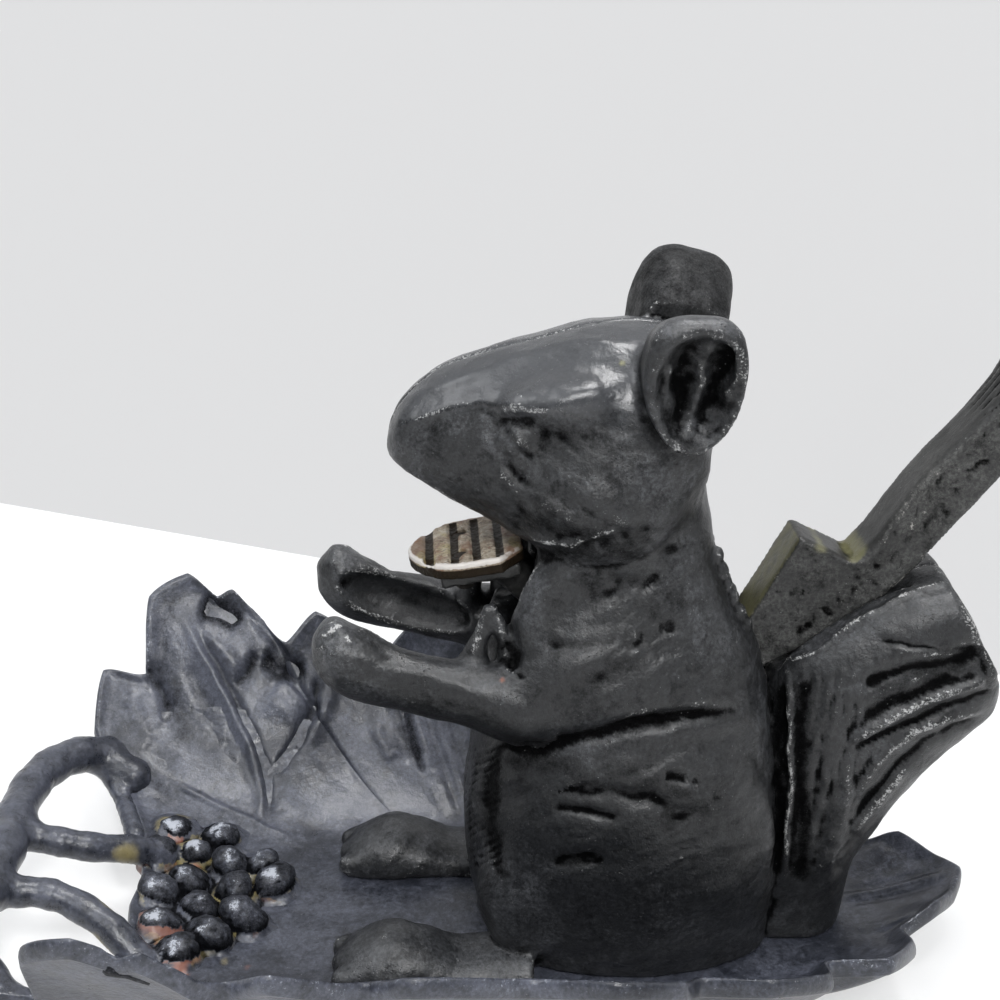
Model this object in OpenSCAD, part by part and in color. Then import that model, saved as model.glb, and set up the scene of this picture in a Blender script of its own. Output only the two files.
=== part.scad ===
// Lever nutcracker in the shape of a sitting squirrel on a cupped leaf tray, cast iron.
// Millimetres. The origin is the middle of the flat underside that rests on the table.
// +X runs from the nose to the tail, +Y to the figure's right side, +Z up.
// The two body castings meet on the plane y = 0 and hold the tail lever between them.

/* [Figure] */
// Height of the crown of the head above the table
figure_h = 147; // [140:1:154]
// Width across the haunches
figure_w = 62; // [58:1:68]
// Wall of the hollow body castings
wall_t = 4.5; // [3.5:0.1:5.5]

/* [Tail lever] */
// Thickness of the lever, side to side
lever_w = 11; // [9:0.5:12]
// Length of the tail from the block to its tip, measured straight
tail_len = 118; // [105:1:128]

/* [Jaw plate] */
// Length of the serrated jaw plate
jaw_l = 23.6; // [21:0.2:25]
// Width of the serrated jaw plate
jaw_w = 23; // [19:0.5:24]
// Thickness of the jaw plate
jaw_t = 3.4; // [2.8:0.1:3.8]

/* [Leaf tray] */
// Length of the leaf, without the vine handle
leaf_l = 206; // [200:1:216]
// Width of the leaf across its widest lobes
leaf_w = 150; // [142:1:162]
// Height of the highest lobe above the floor of the tray
leaf_rise = 52; // [42:1:60]
// Thickness of the leaf
leaf_t = 4; // [3.4:0.1:5]
// Thickness of the vine handle
vine_d = 9; // [7.4:0.2:10]

/* [Fixings] */
// Diameter of the pivot pin
pin_d = 7; // [6:0.2:8]
// Diameter of the screws that join the body castings
joint_screw_d = 4.4; // [3.6:0.1:5]
// Diameter of the screws that hold the figure to the tray
base_screw_d = 5; // [4:0.1:5.6]
// Diameter of the jaw rivets
rivet_d = 3.2; // [2.6:0.1:3.6]

/* [Hidden] */
pad_h = 4;                     // foot pad under the leaf
floor_z = pad_h + leaf_t;      // top of the tray floor
k = (figure_h - floor_z) / 139;   // figure scale against the drawn size
ky = figure_w / 62;
kt = tail_len / 118;
side_gap = 0.6;                // lever to casting, each side
run_fit = 0.05;                // radial, pin in lever
seat_fit = 0.02;               // radial, screws, rivets and pin in their seats
big = 400;
fine = 64;

function fx(x) = x * k;
function fz(z) = floor_z + (z - 8) * k;
function fy(y) = y * ky;

pivot = [fx(40), fz(77)];
slot_h = lever_w / 2 + side_gap;   // half width of the lever slot
pin_l = 2 * (lever_w / 2 + 9);     // the pin ends inside both bosses
boss_wall = 5;                 // iron round the pin in each casting
hub_wall = 5.5;                // and in the lever
boss_r = pin_d / 2 + boss_wall;
hub_r = pin_d / 2 + hub_wall;

// ---- curves and skins -------------------------------------------------------

function pw(v, e) = sign(v) * pow(abs(v), e);
function at(rows, i) = rows[max(0, min(len(rows) - 1, i))];
function cr(a, b, c, d, t) = 0.5 * (2 * b + (c - a) * t + (2 * a - 5 * b + 4 * c - d) * t * t
    + (3 * b - a - 3 * c + d) * t * t * t);
// A smooth run of rows through the given ones, m steps from each row to the next
function smooth(rows, m) = [for (i = [0 : len(rows) - 2]) for (j = [0 : m - 1])
    cr(at(rows, i - 1), at(rows, i), at(rows, i + 1), at(rows, i + 2), j / m),
    rows[len(rows) - 1]];
// One closed section: [xa, za, xb, zb, half width, exponent, how much wider the b end is]
function ring(r, n, y0 = 0) = [for (i = [0 : n - 1])
    let (c = pw(cos(360 * i / n), 2 / r[5]), s = pw(sin(360 * i / n), 2 / r[5]))
    [(r[0] + r[2]) / 2 + (r[2] - r[0]) / 2 * c, y0 + r[4] * s * (1 + r[6] * c),
     (r[1] + r[3]) / 2 + (r[3] - r[1]) / 2 * c]];
// A section across a free path: centre, two unit vectors, two half sizes
function oval(c, u, v, a, b, n) = [for (i = [0 : n - 1])
    c + u * a * cos(360 * i / n) + v * b * sin(360 * i / n)];
function mean(r) = [for (q = [0 : 2]) [for (p = r) p[q]] * [for (p = r) 1] / len(r)];
function unit(v) = v / norm(v);
function twice_area(r) = let (o = r[0])
    [for (q = [0 : 2]) [for (i = [1 : len(r) - 2]) cross(r[i] - o, r[i + 1] - o)[q]]
     * [for (i = [1 : len(r) - 2]) 1]];

module skin(rings) {
    n = len(rings[0]);
    m = len(rings);
    ahead = twice_area(rings[0]) * (mean(rings[1]) - mean(rings[0])) > 0;
    tri = [
        for (i = [1 : n - 2]) [0, i, i + 1],
        for (j = [0 : m - 2], i = [0 : n - 1]) let (h = (i + 1) % n)
            [j * n + i, (j + 1) * n + i, (j + 1) * n + h],
        for (j = [0 : m - 2], i = [0 : n - 1]) let (h = (i + 1) % n)
            [j * n + i, (j + 1) * n + h, j * n + h],
        for (i = [1 : n - 2]) [(m - 1) * n, (m - 1) * n + i + 1, (m - 1) * n + i]];
    polyhedron([for (r = rings) for (p = r) p],
        [for (f = tri) ahead ? f : [f[0], f[2], f[1]]], convexity = 8);
}

// Joins cast-on shapes into one skin
module cast() resize([0, 0, 0]) union() children();

module ball(p, r, n = 20) translate(p) scale(r) sphere(1, $fn = n);

// A cylinder across the figure from y0 to y1
module across(p, r, y0, y1) translate([p[0], y1, p[1]]) rotate([90, 0, 0])
    cylinder(r = r, h = y1 - y0, $fn = fine);
// A plate across the figure with a side outline drawn in x and z
module side_plate(pts, y0, y1) translate([0, y1, 0]) rotate([90, 0, 0])
    linear_extrude(y1 - y0) polygon(pts);
function fig(pts) = [for (p = pts) [fx(p[0]), fz(p[1])]];
function fig_rows(rows) = [for (r = rows)
    [fx(r[0]), fz(r[1]), fx(r[2]), fz(r[3]), fy(r[4]), r[5], r[6]]];

// ---- body castings ----------------------------------------------------------

// Front and back of the trunk at each height, bottom to neck
trunk = [
    [-3, 8, 61, 8, 25, 2.6, 0], [-7, 22, 61, 22, 28, 2.6, 0.05],
    [-8, 38, 60.5, 38, 29, 2.5, 0.05], [-6.5, 52, 59, 54, 28, 2.4, 0.04],
    [-5, 64, 57, 68, 26, 2.3, 0.02], [-4.5, 76, 54, 80, 24, 2.3, 0],
    [-0.4, 87, 48.6, 90, 21, 2.5, 0], [4.6, 97, 44.6, 100, 18.5, 2.6, 0],
    [8.6, 108, 43, 110, 17, 2.2, 0], [12, 120, 40, 120, 15, 2, 0]];
// Underside and top of the head from nose to nape
skull = [
    [-23.2, 121, -22, 127, 3.4, 2, 0], [-21, 118.4, -19.2, 131.6, 7, 2.2, -0.05],
    [-14, 114.2, -12.4, 137.6, 10.5, 2.4, -0.12], [-4, 108, -2.2, 141.2, 14, 2.5, -0.14],
    [6, 101.8, 8, 143.8, 17.6, 2.4, -0.14], [16, 100.5, 18, 146.2, 20.4, 2.3, -0.14],
    [27, 102, 27, 147, 21, 2.2, -0.12], [36, 106, 35, 145, 18.6, 2.1, -0.08],
    [41, 112.5, 39.5, 139, 13, 2, 0], [42.4, 121, 42, 131, 5.5, 2, 0]];
// Outer and inner edge of the tail root, from the tray up to its open end
tail_root = [
    [77.6, 8, 50, 8, 14.5, 2.4, 0], [79.4, 24, 50, 27, 16, 2.4, 0],
    [84.8, 34.5, 52, 44, 17, 2.4, 0], [91.6, 44.6, 55, 60, 17.3, 2.5, 0],
    [99.4, 53, 60, 75.5, 17, 2.6, 0], [105.4, 59.6, 72.5, 86.4, 16.6, 2.8, 0],
    [106.5, 64, 82.5, 92.6, 16, 3, 0], [105.8, 68, 92, 95.4, 15.6, 3, 0]];
// Bottom and top of the fore leg from shoulder to paw
fore_leg = [
    [18, 66, 16, 79, 2.5, 2, 0], [12, 62.5, 11, 81, 5.6, 2, 0],
    [4, 62.6, 3, 80.2, 7.4, 2, 0], [-7, 66.8, -7, 80.8, 6.6, 2, 0],
    [-17.5, 69.8, -18.5, 83.4, 5.6, 2, 0], [-27, 72.2, -28.5, 88.4, 6.2, 2, 0],
    [-33.5, 74.6, -34.5, 91, 5.8, 2, 0], [-38.2, 79.5, -38.6, 86.5, 3, 2, 0]];
toe_in = 0.07;        // how fast the left fore leg closes in towards its paw
// Ear, going out from the head: y, then the section's middle (x, z) and half sizes
ear_rows = [
    [10, 34.5, 138, 8, 8], [16, 34.6, 140, 9, 11], [21, 34.6, 140.6, 9.4, 12.7],
    [25.5, 34.6, 140.6, 9.6, 13.2], [27.4, 34.6, 140.4, 8.9, 12.5]];
ear_wider_top = 0.12;
ear_square = 0.35;    // how square its upper end is
ear_lean = 14;        // the right ear leans back, the left one stands straight
ear_more = [1.1, 1, 1.12];    // and the right ear is a little larger
joint_screws = [[28, 122], [7, 55], [67, 33]];
joint_seat = 12;      // y of the joining screw heads
joint_l = 21;         // length under the head
base_screws_at = [[14, 13], [14, -13], [44, 13], [44, -13]];
base_l = 9;           // thread length inside the figure

module limb(rows, side, y, n = 16) skin([for (r = smooth(fig_rows(rows), 2))
    ring(r, n, side * fy(y))]);

// Sets an ear or its cup at the lean of its side
module ear_set(side) translate([fx(34), 0, fz(130)])
    rotate([0, side > 0 ? ear_lean : 0, 0]) scale(side > 0 ? ear_more : [1, 1, 1])
    translate([-fx(34), 0, -fz(130)]) children();

module ear(side) ear_set(side) skin([for (r = smooth(ear_rows, 2)) [for (i = [0 : 23])
    let (e = 1 - ear_square * max(0, sin(15 * i)), c = pw(cos(15 * i), e), s = pw(sin(15 * i), e))
    [fx(r[1] + r[3] * c * (1 + ear_wider_top * s)), side * fy(r[0]), fz(r[2] + r[4] * s)]]]);

// Everything on one side of the figure, before the two halves are parted
module flesh(side) {
    skin([for (r = smooth(fig_rows(trunk), 2)) ring(r, 36)]);
    skin([for (r = smooth(fig_rows(skull), 2)) ring(r, 32)]);
    skin([for (r = smooth(fig_rows(tail_root), 2)) ring(r, 28)]);
    // haunch, knee and hind foot
    ball([fx(29), side * fy(20.5), fz(38)], [fx(27), fy(10.5), fx(29)], 28);
    ball([fx(6), side * fy(18), fz(26)], [fx(12), fy(8.4), fx(15)], 20);
    limb([[6, 6, 6, 15, 9, 2.2, -0.1], [-9, 6, -9, 14, 8.4, 2.2, -0.1],
          [-18, 6, -18, 17.8, 9, 2.2, -0.1], [-26, 6, -26, 19, 9.4, 2.2, -0.1],
          [-32.5, 6, -33, 15.6, 7.8, 2.2, -0.1], [-36.5, 7, -36.5, 12, 4, 2, 0]], side, 20.5);
    // cheek, brow and eye
    ball([fx(19), side * fy(15), fz(113.5)], [fx(14), fy(8.5), fx(11)], 20);
    ball([fx(12), side * fy(14), fz(134)], [fx(12), fy(4.6), fx(5)], 18);
    ball([fx(3.4), side * fy(14.4), fz(127.4)], [fx(4), fy(2.4), fx(2.8)], 14);
    multmatrix([[1, 0, 0, 0], side < 0 ? [-toe_in, 1, 0, toe_in * fx(10)] : [0, 1, 0, 0],
        [0, 0, 1, 0], [0, 0, 0, 1]]) limb(fore_leg, side, 18.5);
    ball([fx(16), side * fy(18), fz(76)], [fx(16), fy(6.8), fx(12)], 20);
    ear(side);
}

// What the castings are hollowed by; each cut ends clear of the skin or runs out of it
module hollows(side) {
    w = wall_t;
    // trunk cavity, with the bosses left standing in it
    difference() {
        skin([for (r = smooth([for (i = [0 : 6]) let (q = fig_rows(trunk)[i], up = i == 0 ? 9 : 0)
            [q[0] + w, q[1] + up, q[2] - w, q[3] + up, q[4] - w, q[5], q[6]]], 2)) ring(r, 28)]);
        across(pivot, boss_r, side < 0 ? -big : 0, side < 0 ? 0 : big);
        for (p = fig(joint_screws))
            across(p, joint_screw_d / 2 + 3, side < 0 ? -big : 0, side < 0 ? 0 : big);
        for (b = base_screws_at) translate([fx(b[0]), b[1], 0])
            cylinder(r = base_screw_d / 2 + 3.5, h = floor_z + base_l + 4, $fn = fine);
    }
    // inside of the fore leg, which is open towards the other one
    translate([fx(-20), side * fy(11), fz(80.4)]) rotate([0, 20, 0])
        scale([fx(15), fy(4), fx(5.4)]) sphere(1, $fn = 16);
    // cup of the ear
    ear_set(side) ball([fx(34.6), side * fy(28.4), fz(140.2)], [fx(7.8), fy(9.6), fx(11.3)], 22);
}

// Room for the lever over its whole travel, as side outlines
lever_way = fig([[8, 78], [25, 64], [50, 66], [59, 71.6], [62, 72.4], [79.6, 84.3],
    [92, 97.4], [112, 118], [112, 140], [58, 122], [47, 96], [38, 92], [24, 94], [9, 99.5]]);
stem_way = fig([[-20, 77], [8, 75.5], [10, 80], [10, 99.5], [-20, 99.5]]);

module casting(side) {
    lo = side < 0 ? -big : 0;
    difference() {
        cast() intersection() {
            difference() {
                union() flesh(side);
                hollows(side);
            }
            translate([-big, lo, floor_z]) cube([2 * big, big, big]);
        }
        // lever slot, stem slot and the throat that the jaw plate drops into
        side_plate(lever_way, -slot_h, slot_h);
        side_plate(stem_way, -slot_h, slot_h);
        side_plate(fig([[-26, 74], [-14, 78.6], [-5, 82.6], [3, 85.4], [6.4, 87], [6.4, 103],
            [-26, 103]]),
            -jaw_w / 2 - 0.6, jaw_w / 2 + 0.6);
        across(pivot, pin_d / 2 + seat_fit, -pin_l / 2 - 0.5, pin_l / 2 + 0.5);
        for (p = fig(joint_screws)) {
            across(p, joint_screw_d / 2 + seat_fit, -joint_l + joint_seat - 1, joint_seat + 1);
            across(p, joint_screw_d + 0.4, joint_seat, big);
        }
        for (b = base_screws_at) if (b[1] * side > 0)
            translate([fx(b[0]), b[1], floor_z - 1])
                cylinder(r = base_screw_d / 2 + seat_fit, h = base_l + 1.5, $fn = fine);
    }
}

module body_left() color("#1c1d20") casting(-1);
module body_right() color("#1c1d20") casting(1);

// ---- tail lever -------------------------------------------------------------

// Lower and upper edge of the tail from the block to the tip
tail = [
    [79.3, 87.5, 72.6, 95.6, 5.5, 6, 0], [84.6, 93, 77.6, 100.3, 5.5, 6, 0],
    [89.4, 98.5, 81, 105.2, 5.5, 6, 0], [93.8, 104, 85.2, 111.6, 5.5, 6, 0],
    [98, 109.5, 89.8, 117.6, 5.6, 5, 0], [102.4, 115.6, 94.6, 123.2, 6.2, 4, 0],
    [107.2, 123.6, 99.6, 130, 7.2, 3.4, 0], [110.8, 130.4, 102.6, 135.6, 8.6, 3, 0],
    [114.2, 137.2, 104.4, 142, 10.4, 2.7, 0], [117.6, 148, 105.6, 150.6, 12.4, 2.4, 0],
    [119.6, 159.5, 107.2, 161.6, 13, 2.3, 0], [122.6, 169, 111.6, 173.6, 12.6, 2.2, 0],
    [128, 176, 119.4, 184, 11, 2.2, 0], [135, 180, 130, 189.6, 8, 2.1, 0],
    [142, 182.2, 139.6, 190, 4.4, 2, 0], [145, 184, 144.4, 188, 1.8, 2, 0]];
tail_base = [79, 87];
function tail_row(r) = let (b = [fx(tail_base[0]), fz(tail_base[1])])
    [b[0] + (fx(r[0]) - b[0]) * kt, b[1] + (fz(r[1]) - b[1]) * kt,
     b[0] + (fx(r[2]) - b[0]) * kt, b[1] + (fz(r[3]) - b[1]) * kt,
     r[4] * lever_w / 11, r[5], r[6]];
// Jaw plate in side view: front end and the plane that it is riveted to
jaw_x0 = fx(-18.6);
jaw_z0 = fz(95.1);
jaw_tilt = 9;                  // the plate rises towards the throat
// The jaw's own measure runs from its front end along and square to the plate
function jaw_pt(x, z) = [jaw_x0 + x * cos(jaw_tilt) - z * sin(jaw_tilt),
    jaw_z0 + x * sin(jaw_tilt) + z * cos(jaw_tilt)];
module on_jaw() translate([jaw_x0, 0, jaw_z0]) rotate([0, -jaw_tilt, 0]) children();
pad_x0 = 6;
pad_x1 = jaw_l - 1;
rivets_at = [[jaw_l * 0.46, jaw_w * 0.22], [jaw_l * 0.46, -jaw_w * 0.22]];
pad_t = 3;

module tail_lever() color("#202124") difference() {
    union() {
        cast() skin([for (r = smooth([for (q = tail) tail_row(q)], 2)) ring(r, 24)]);
        // block and the part inside the body
        side_plate(fig([[61.5, 101.9], [51.3, 82.8], [47, 79], [40, 70], [54, 71.2],
            [60.1, 74.4], [72, 81.9], [79.3, 87.5], [88, 96.8], [79.4, 103], [76, 97.6],
            [73.6, 95.6], [68.2, 98.5]]), -lever_w / 2, lever_w / 2);
        across(pivot, hub_r, -lever_w / 2, lever_w / 2);
        // stem from the hub to the pad under the jaw plate
        side_plate(concat(fig([[44, 70], [44, 84.5], [24, 87], [12, 89.5]]),
            [jaw_pt(pad_x1, 0), jaw_pt(pad_x1 - 7, 0), jaw_pt(pad_x1 - 7, -pad_t)],
            fig([[6, 86], [20, 78], [32, 71]])), -lever_w / 2 + 1, lever_w / 2 - 1);
        on_jaw() translate([pad_x0, -jaw_w * 0.36, -pad_t])
            cube([pad_x1 - pad_x0, jaw_w * 0.72, pad_t]);
    }
    across(pivot, pin_d / 2 + run_fit, -big, big);
    on_jaw() for (p = rivets_at) translate([p[0], p[1], -pad_t - 1])
        cylinder(r = rivet_d / 2 + seat_fit, h = pad_t + 2, $fn = fine);
}

// ---- jaw plate and fixings --------------------------------------------------

// Half width of the plate along its length: a rounded nose, full width, a narrower heel
function jaw_half(t) = jaw_w / 2 * (t < 0.5 ? pow(max(0, 1 - pow((0.5 - t) / 0.5, 2)), 0.62)
    : t > 0.8 ? 1 - (t - 0.8) * 2.2 : 1);
jaw_stations = concat([for (i = [0 : 14]) 0.5 * (1 - cos(i * 90 / 14))], [0.8, 0.9, 1]);
module jaw_plate() color("#a39a89") on_jaw() difference() {
    linear_extrude(jaw_t) polygon([
        for (t = jaw_stations) [t * jaw_l, jaw_half(t)],
        for (i = [len(jaw_stations) - 1 : -1 : 1])
            [jaw_stations[i] * jaw_l, -jaw_half(jaw_stations[i])]]);
    // grip grooves across the upper face
    for (i = [0 : 3]) translate([jaw_l * (0.24 + 0.17 * i), 0, jaw_t + 0.6])
        rotate([90, 0, 0]) cylinder(r = 1.4, h = jaw_w * 0.86, center = true, $fn = fine);
    for (p = rivets_at) translate([p[0], p[1], -1])
        cylinder(r = rivet_d / 2 + seat_fit, h = jaw_t + 2, $fn = fine);
}

module jaw_rivets() color("#6f6c66") on_jaw() for (p = rivets_at) translate([p[0], p[1], 0]) {
    translate([0, 0, -pad_t - 0.5]) cylinder(r = rivet_d / 2, h = pad_t + jaw_t - 0.3, $fn = fine);
    translate([0, 0, -pad_t - 1.3]) cylinder(r1 = rivet_d * 0.55, r2 = rivet_d * 0.85,
        h = 1.3, $fn = fine);
}

module pivot_pin() color("#8b8d90") across(pivot, pin_d / 2, -pin_l / 2, pin_l / 2);

module slotted_screw(d, l) difference() {
    union() {
        cylinder(r = d / 2, h = l, $fn = fine);
        translate([0, 0, -d * 0.6]) cylinder(r1 = d * 0.8, r2 = d * 0.92, h = d * 0.6, $fn = fine);
    }
    translate([-d, -d * 0.11, -d * 0.6 - 1]) cube([2 * d, d * 0.22, d * 0.3 + 1]);
}

module body_screws() color("#55565a") for (p = fig(joint_screws))
    translate([p[0], joint_seat, p[1]]) rotate([90, 0, 0]) slotted_screw(joint_screw_d, joint_l);

head_z = base_screw_d * 0.6 + 0.4;    // bearing plane of the base screw heads
module base_screws() color("#55565a") for (b = base_screws_at)
    translate([fx(b[0]), b[1], head_z]) slotted_screw(base_screw_d, floor_z - head_z + base_l);

// ---- leaf tray --------------------------------------------------------------

// Rim of one half of the leaf from the rear tip to the stalk: x, y, height of the edge
rim = [
    [107, 0, 13.5], [103.4, 7, 12], [97, 14, 13.6], [89, 17, 12], [87, 30, 18], [78, 41, 23],
    [66, 39, 21], [62, 54, 30], [49, 60, 34], [36, 56, 31.5], [31, 66, 39], [17, 70, 43],
    [3, 62, 37.5], [-7, 68, 43], [-20, 71, 46], [-28, 65, 40.5], [-34, 69, 44],
    [-45, 73, 50], [-52.5, 67, 43], [-58, 72, 48.8], [-62.5, 72.5, 52.5], [-66.5, 74, 56],
    [-70.5, 72.5, 55], [-77, 75, 60], [-86.5, 71, 56],
    [-87.5, 62, 38.5], [-98, 62, 39.5], [-99, 51, 29], [-95, 45, 21],
    [-90, 37, 16.5], [-85, 25, 14], [-83, 10, 13], [-84, 0, 13]];
half_n = len(rim);
leaf_kx = leaf_l / 206;
leaf_ky = leaf_w / 150;
leaf_kz = leaf_rise / 52;
loop_n = 2 * (half_n - 1);
// The whole rim, once round
function edge(i) = let (j = i < half_n ? i : loop_n - i, p = rim[j])
    [p[0] * leaf_kx, (i < half_n ? 1 : -1) * p[1] * leaf_ky, floor_z + (p[2] - 8) * leaf_kz];
edge_all = [for (i = [0 : loop_n - 1]) for (h = [0, 0.5])
    (1 - h) * edge(i) + h * edge((i + 1) % loop_n)];
edge_n = len(edge_all);
// Edge of the flat floor towards rim point p
flat_c = [11, 0];
function flat_edge(p) = let (d = unit([p[0] - flat_c[0], p[1]]),
    s = 1 / sqrt(pow(d[0] / 66, 2) + pow(d[1] / 35, 2))) [flat_c[0] + d[0] * s, d[1] * s];
steps = [0, 0.12, 0.26, 0.42, 0.58, 0.74, 0.88, 1];
function leaf_pt(p, t) = let (f = flat_edge(p))
    [f[0] + (p[0] - f[0]) * t, f[1] + (p[1] - f[1]) * t,
     floor_z + (p[2] - floor_z) * pow(t, 1.7)];

module leaf_blade() {
    m = len(steps);
    top = [for (t = steps) for (p = edge_all) leaf_pt(p, t)];
    under = [for (t = steps) for (p = edge_all) leaf_pt(p, t) - [0, 0, leaf_t]];
    n = edge_n;
    o = m * n;
    c = len(top) + len(under);
    polyhedron(concat(top, under, [[flat_c[0], 0, floor_z], [flat_c[0], 0, floor_z - leaf_t]]), [
        for (i = [0 : n - 1]) [c, (i + 1) % n, i],
        for (i = [0 : n - 1]) [c + 1, o + i, o + (i + 1) % n],
        for (j = [0 : m - 2], i = [0 : n - 1]) let (h = (i + 1) % n)
            each [[j * n + i, j * n + h, (j + 1) * n + h], [j * n + i, (j + 1) * n + h, (j + 1) * n + i],
             [o + j * n + i, o + (j + 1) * n + h, o + j * n + h],
             [o + j * n + i, o + (j + 1) * n + i, o + (j + 1) * n + h]],
        for (i = [0 : n - 1]) let (h = (i + 1) % n, a = (m - 1) * n)
            each [[a + i, a + h, o + a + h], [a + i, o + a + h, o + a + i]]], convexity = 8);
}

// A round bar along points in space
module vine(pts, r) {
    path = smooth(pts, 3);
    skin([for (i = [0 : len(path) - 1])
        let (d = unit(path[min(i + 1, len(path) - 1)] - path[max(i - 1, 0)]),
             u = unit(cross(d, [0, 0, 1])), v = cross(u, d))
        oval(path[i], u, v, r, r * 1.12, 12)]);
}

nuts = [[-76.8, 28, 13], [-80.5, 18, 12.6], [-66.4, 26.2, 12.1], [-63, 15.5, 11.2], [-55.6, 17, 11],
    [-52, 10, 10.8], [-71.5, 20, 11.8], [-72, 10, 11.6], [-77.5, 4, 12.6], [-61, 6, 11],
    [-68, 0, 11.4], [-58, -3, 10.8], [-76, -7, 12.4], [-65, -9, 11.2], [-71, -16, 11.8]];
// Half of the handle's loop, from the leaf to its middle, and one of the two forks back
vine_loop = [[-95, 48.5, 21], [-101.5, 42, 25], [-107.2, 34, 26], [-110.5, 24, 26],
    [-111.5, 11, 26]];
vine_fork = [[-110.3, 13, 25], [-106, 10.5, 24.2], [-99.8, 9.5, 23.4], [-92.5, 10.7, 20.8],
    [-84.2, 15, 16.9], [-77.4, 19, 10.8]];

module leaf_tray() color("#20232a") difference() {
    union() {
        cast() {
            leaf_blade();
            scale([leaf_kx, 1, 1]) {
                vine([for (s = [1, -1]) for (i = [0 : 4]) let (p = vine_loop[s > 0 ? i : 4 - i])
                    [p[0], s * p[1] * leaf_ky, floor_z - 8 + p[2]]], vine_d / 2);
                for (s = [-1, 1]) vine([for (p = vine_fork) [p[0], s * p[1], floor_z - 8 + p[2]]],
                    vine_d / 2 - 1.3);
            }
            for (p = nuts) ball([p[0] * leaf_kx, p[1], floor_z + (p[2] - 8) * leaf_kz],
                [4.6, 4.4, 4.2], 12);
        }
        // foot pad
        for (x = [-40, 40]) translate([x, 0, 0]) cylinder(r = 22, h = pad_h + 1, $fn = fine);
        translate([-40, -22, 0]) cube([80, 44, pad_h + 1]);
    }
    for (b = base_screws_at) translate([fx(b[0]), b[1], -1]) {
        cylinder(r = base_screw_d / 2 + 0.15, h = floor_z + 2, $fn = fine);
        cylinder(r = base_screw_d + 0.2, h = head_z + 1, $fn = fine);
    }
}

leaf_tray();
body_left();
body_right();
tail_lever();
jaw_plate();
jaw_rivets();
pivot_pin();
body_screws();
base_screws();
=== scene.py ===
import math

import bpy
import numpy as np
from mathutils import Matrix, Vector


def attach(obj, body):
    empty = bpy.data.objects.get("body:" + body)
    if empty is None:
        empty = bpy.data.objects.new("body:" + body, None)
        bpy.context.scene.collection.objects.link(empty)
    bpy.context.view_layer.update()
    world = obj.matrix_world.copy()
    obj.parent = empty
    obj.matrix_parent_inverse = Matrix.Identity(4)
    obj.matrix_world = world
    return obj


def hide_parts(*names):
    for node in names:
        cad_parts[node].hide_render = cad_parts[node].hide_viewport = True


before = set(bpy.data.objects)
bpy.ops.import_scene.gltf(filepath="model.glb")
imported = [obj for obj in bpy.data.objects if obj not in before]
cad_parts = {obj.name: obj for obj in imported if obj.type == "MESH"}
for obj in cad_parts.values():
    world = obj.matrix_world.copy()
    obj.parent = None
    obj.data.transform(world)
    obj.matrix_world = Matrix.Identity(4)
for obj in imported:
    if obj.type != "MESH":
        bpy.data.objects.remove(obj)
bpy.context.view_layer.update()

# Lever nutcracker: a sitting squirrel in japanned cast iron on a cupped leaf tray.
# Millimetres while the forms are made, metres in the meshes. +X runs from nose to tail, +Y to the
# figure's right and +Z up.

STEP = 0.66       # cell of the cast forms
LEAF_FINE = 20      # points along a side of the rim where the leaf is seen best
MM = 0.001
F32 = np.float32

# ---- the view ---------------------------------------------------------------

AZ, EL, FOCUS, DIST = math.radians(-3.0), math.radians(22.0), 1539.0, 315.0
MIDDLE = 500.0                            # of the picture, both ways
AIM = np.array([0.0, 0.0, 109.25])
BACK = np.array([math.sin(AZ) * math.cos(EL), -math.cos(AZ) * math.cos(EL), math.sin(EL)])
RIGHT = np.array([math.cos(AZ), math.sin(AZ), 0.0])
UP = np.cross(BACK, RIGHT)
EYE = AIM + BACK * DIST


def seen(p):
    """Where points lie on a 1000 x 1000 picture taken from EYE."""
    q = p - EYE
    depth = -(q @ BACK)
    return np.stack([MIDDLE + FOCUS * (q @ RIGHT) / depth, MIDDLE - FOCUS * (q @ UP) / depth], -1)


def side_view(v):
    """Where points of either side show on the picture, taken as if on the near side."""
    side = v.copy()
    side[:, 1] = -np.abs(side[:, 1])
    return seen(side)


def far_view(v):
    """The same, taken as if on the far side, where the leaf is seen best."""
    far = v.copy()
    far[:, 1] = np.abs(far[:, 1])
    return seen(far)


# ---- small tools ------------------------------------------------------------

def smooth01(x, a, b):
    t = np.clip((x - a) / (b - a), 0, 1)
    return t * t * (3 - 2 * t)


def curve_at(a, b, c, d, t):
    """A point of the smooth curve from b to c, which comes from a and goes on to d."""
    return 0.5 * (2 * b + (c - a) * t + (2 * a - 5 * b + 4 * c - d) * t * t
                  + (3 * b - a - 3 * c + d) * t ** 3)


def catmull(rows, m):
    """A smooth curve through rows of numbers, with m points to a step."""
    r = np.array(rows, float)
    last = len(r) - 1
    out = [curve_at(r[max(i - 1, 0)], r[i], r[i + 1], r[min(i + 2, last)], j / m)
           for i in range(last) for j in range(m)]
    return np.array(out + [r[-1]])


def lattice(p, seed):
    """Smooth value noise from -1 to 1."""
    i = np.floor(p).astype(np.int64)
    f = p - i
    f = f * f * (3 - 2 * f)
    out = np.zeros(len(p))
    for dx in (0, 1):
        for dy in (0, 1):
            for dz in (0, 1):
                h = ((i[:, 0] + dx) * 73856093) ^ ((i[:, 1] + dy) * 19349663) ^ ((i[:, 2] + dz) * 83492791)
                h = (h ^ (seed * 2654435761)) & 0xFFFFFFFF
                h = ((h ^ (h >> 15)) * 2246822519) & 0xFFFFFFFF
                h = ((h ^ (h >> 13)) * 3266489917) & 0xFFFFFFFF
                v = (h & 0xFFFFFF) / float(0xFFFFFF) * 2 - 1
                w = (f[:, 0] if dx else 1 - f[:, 0]) * (f[:, 1] if dy else 1 - f[:, 1])
                w = w * (f[:, 2] if dz else 1 - f[:, 2])
                out += v * w
    return out


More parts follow.
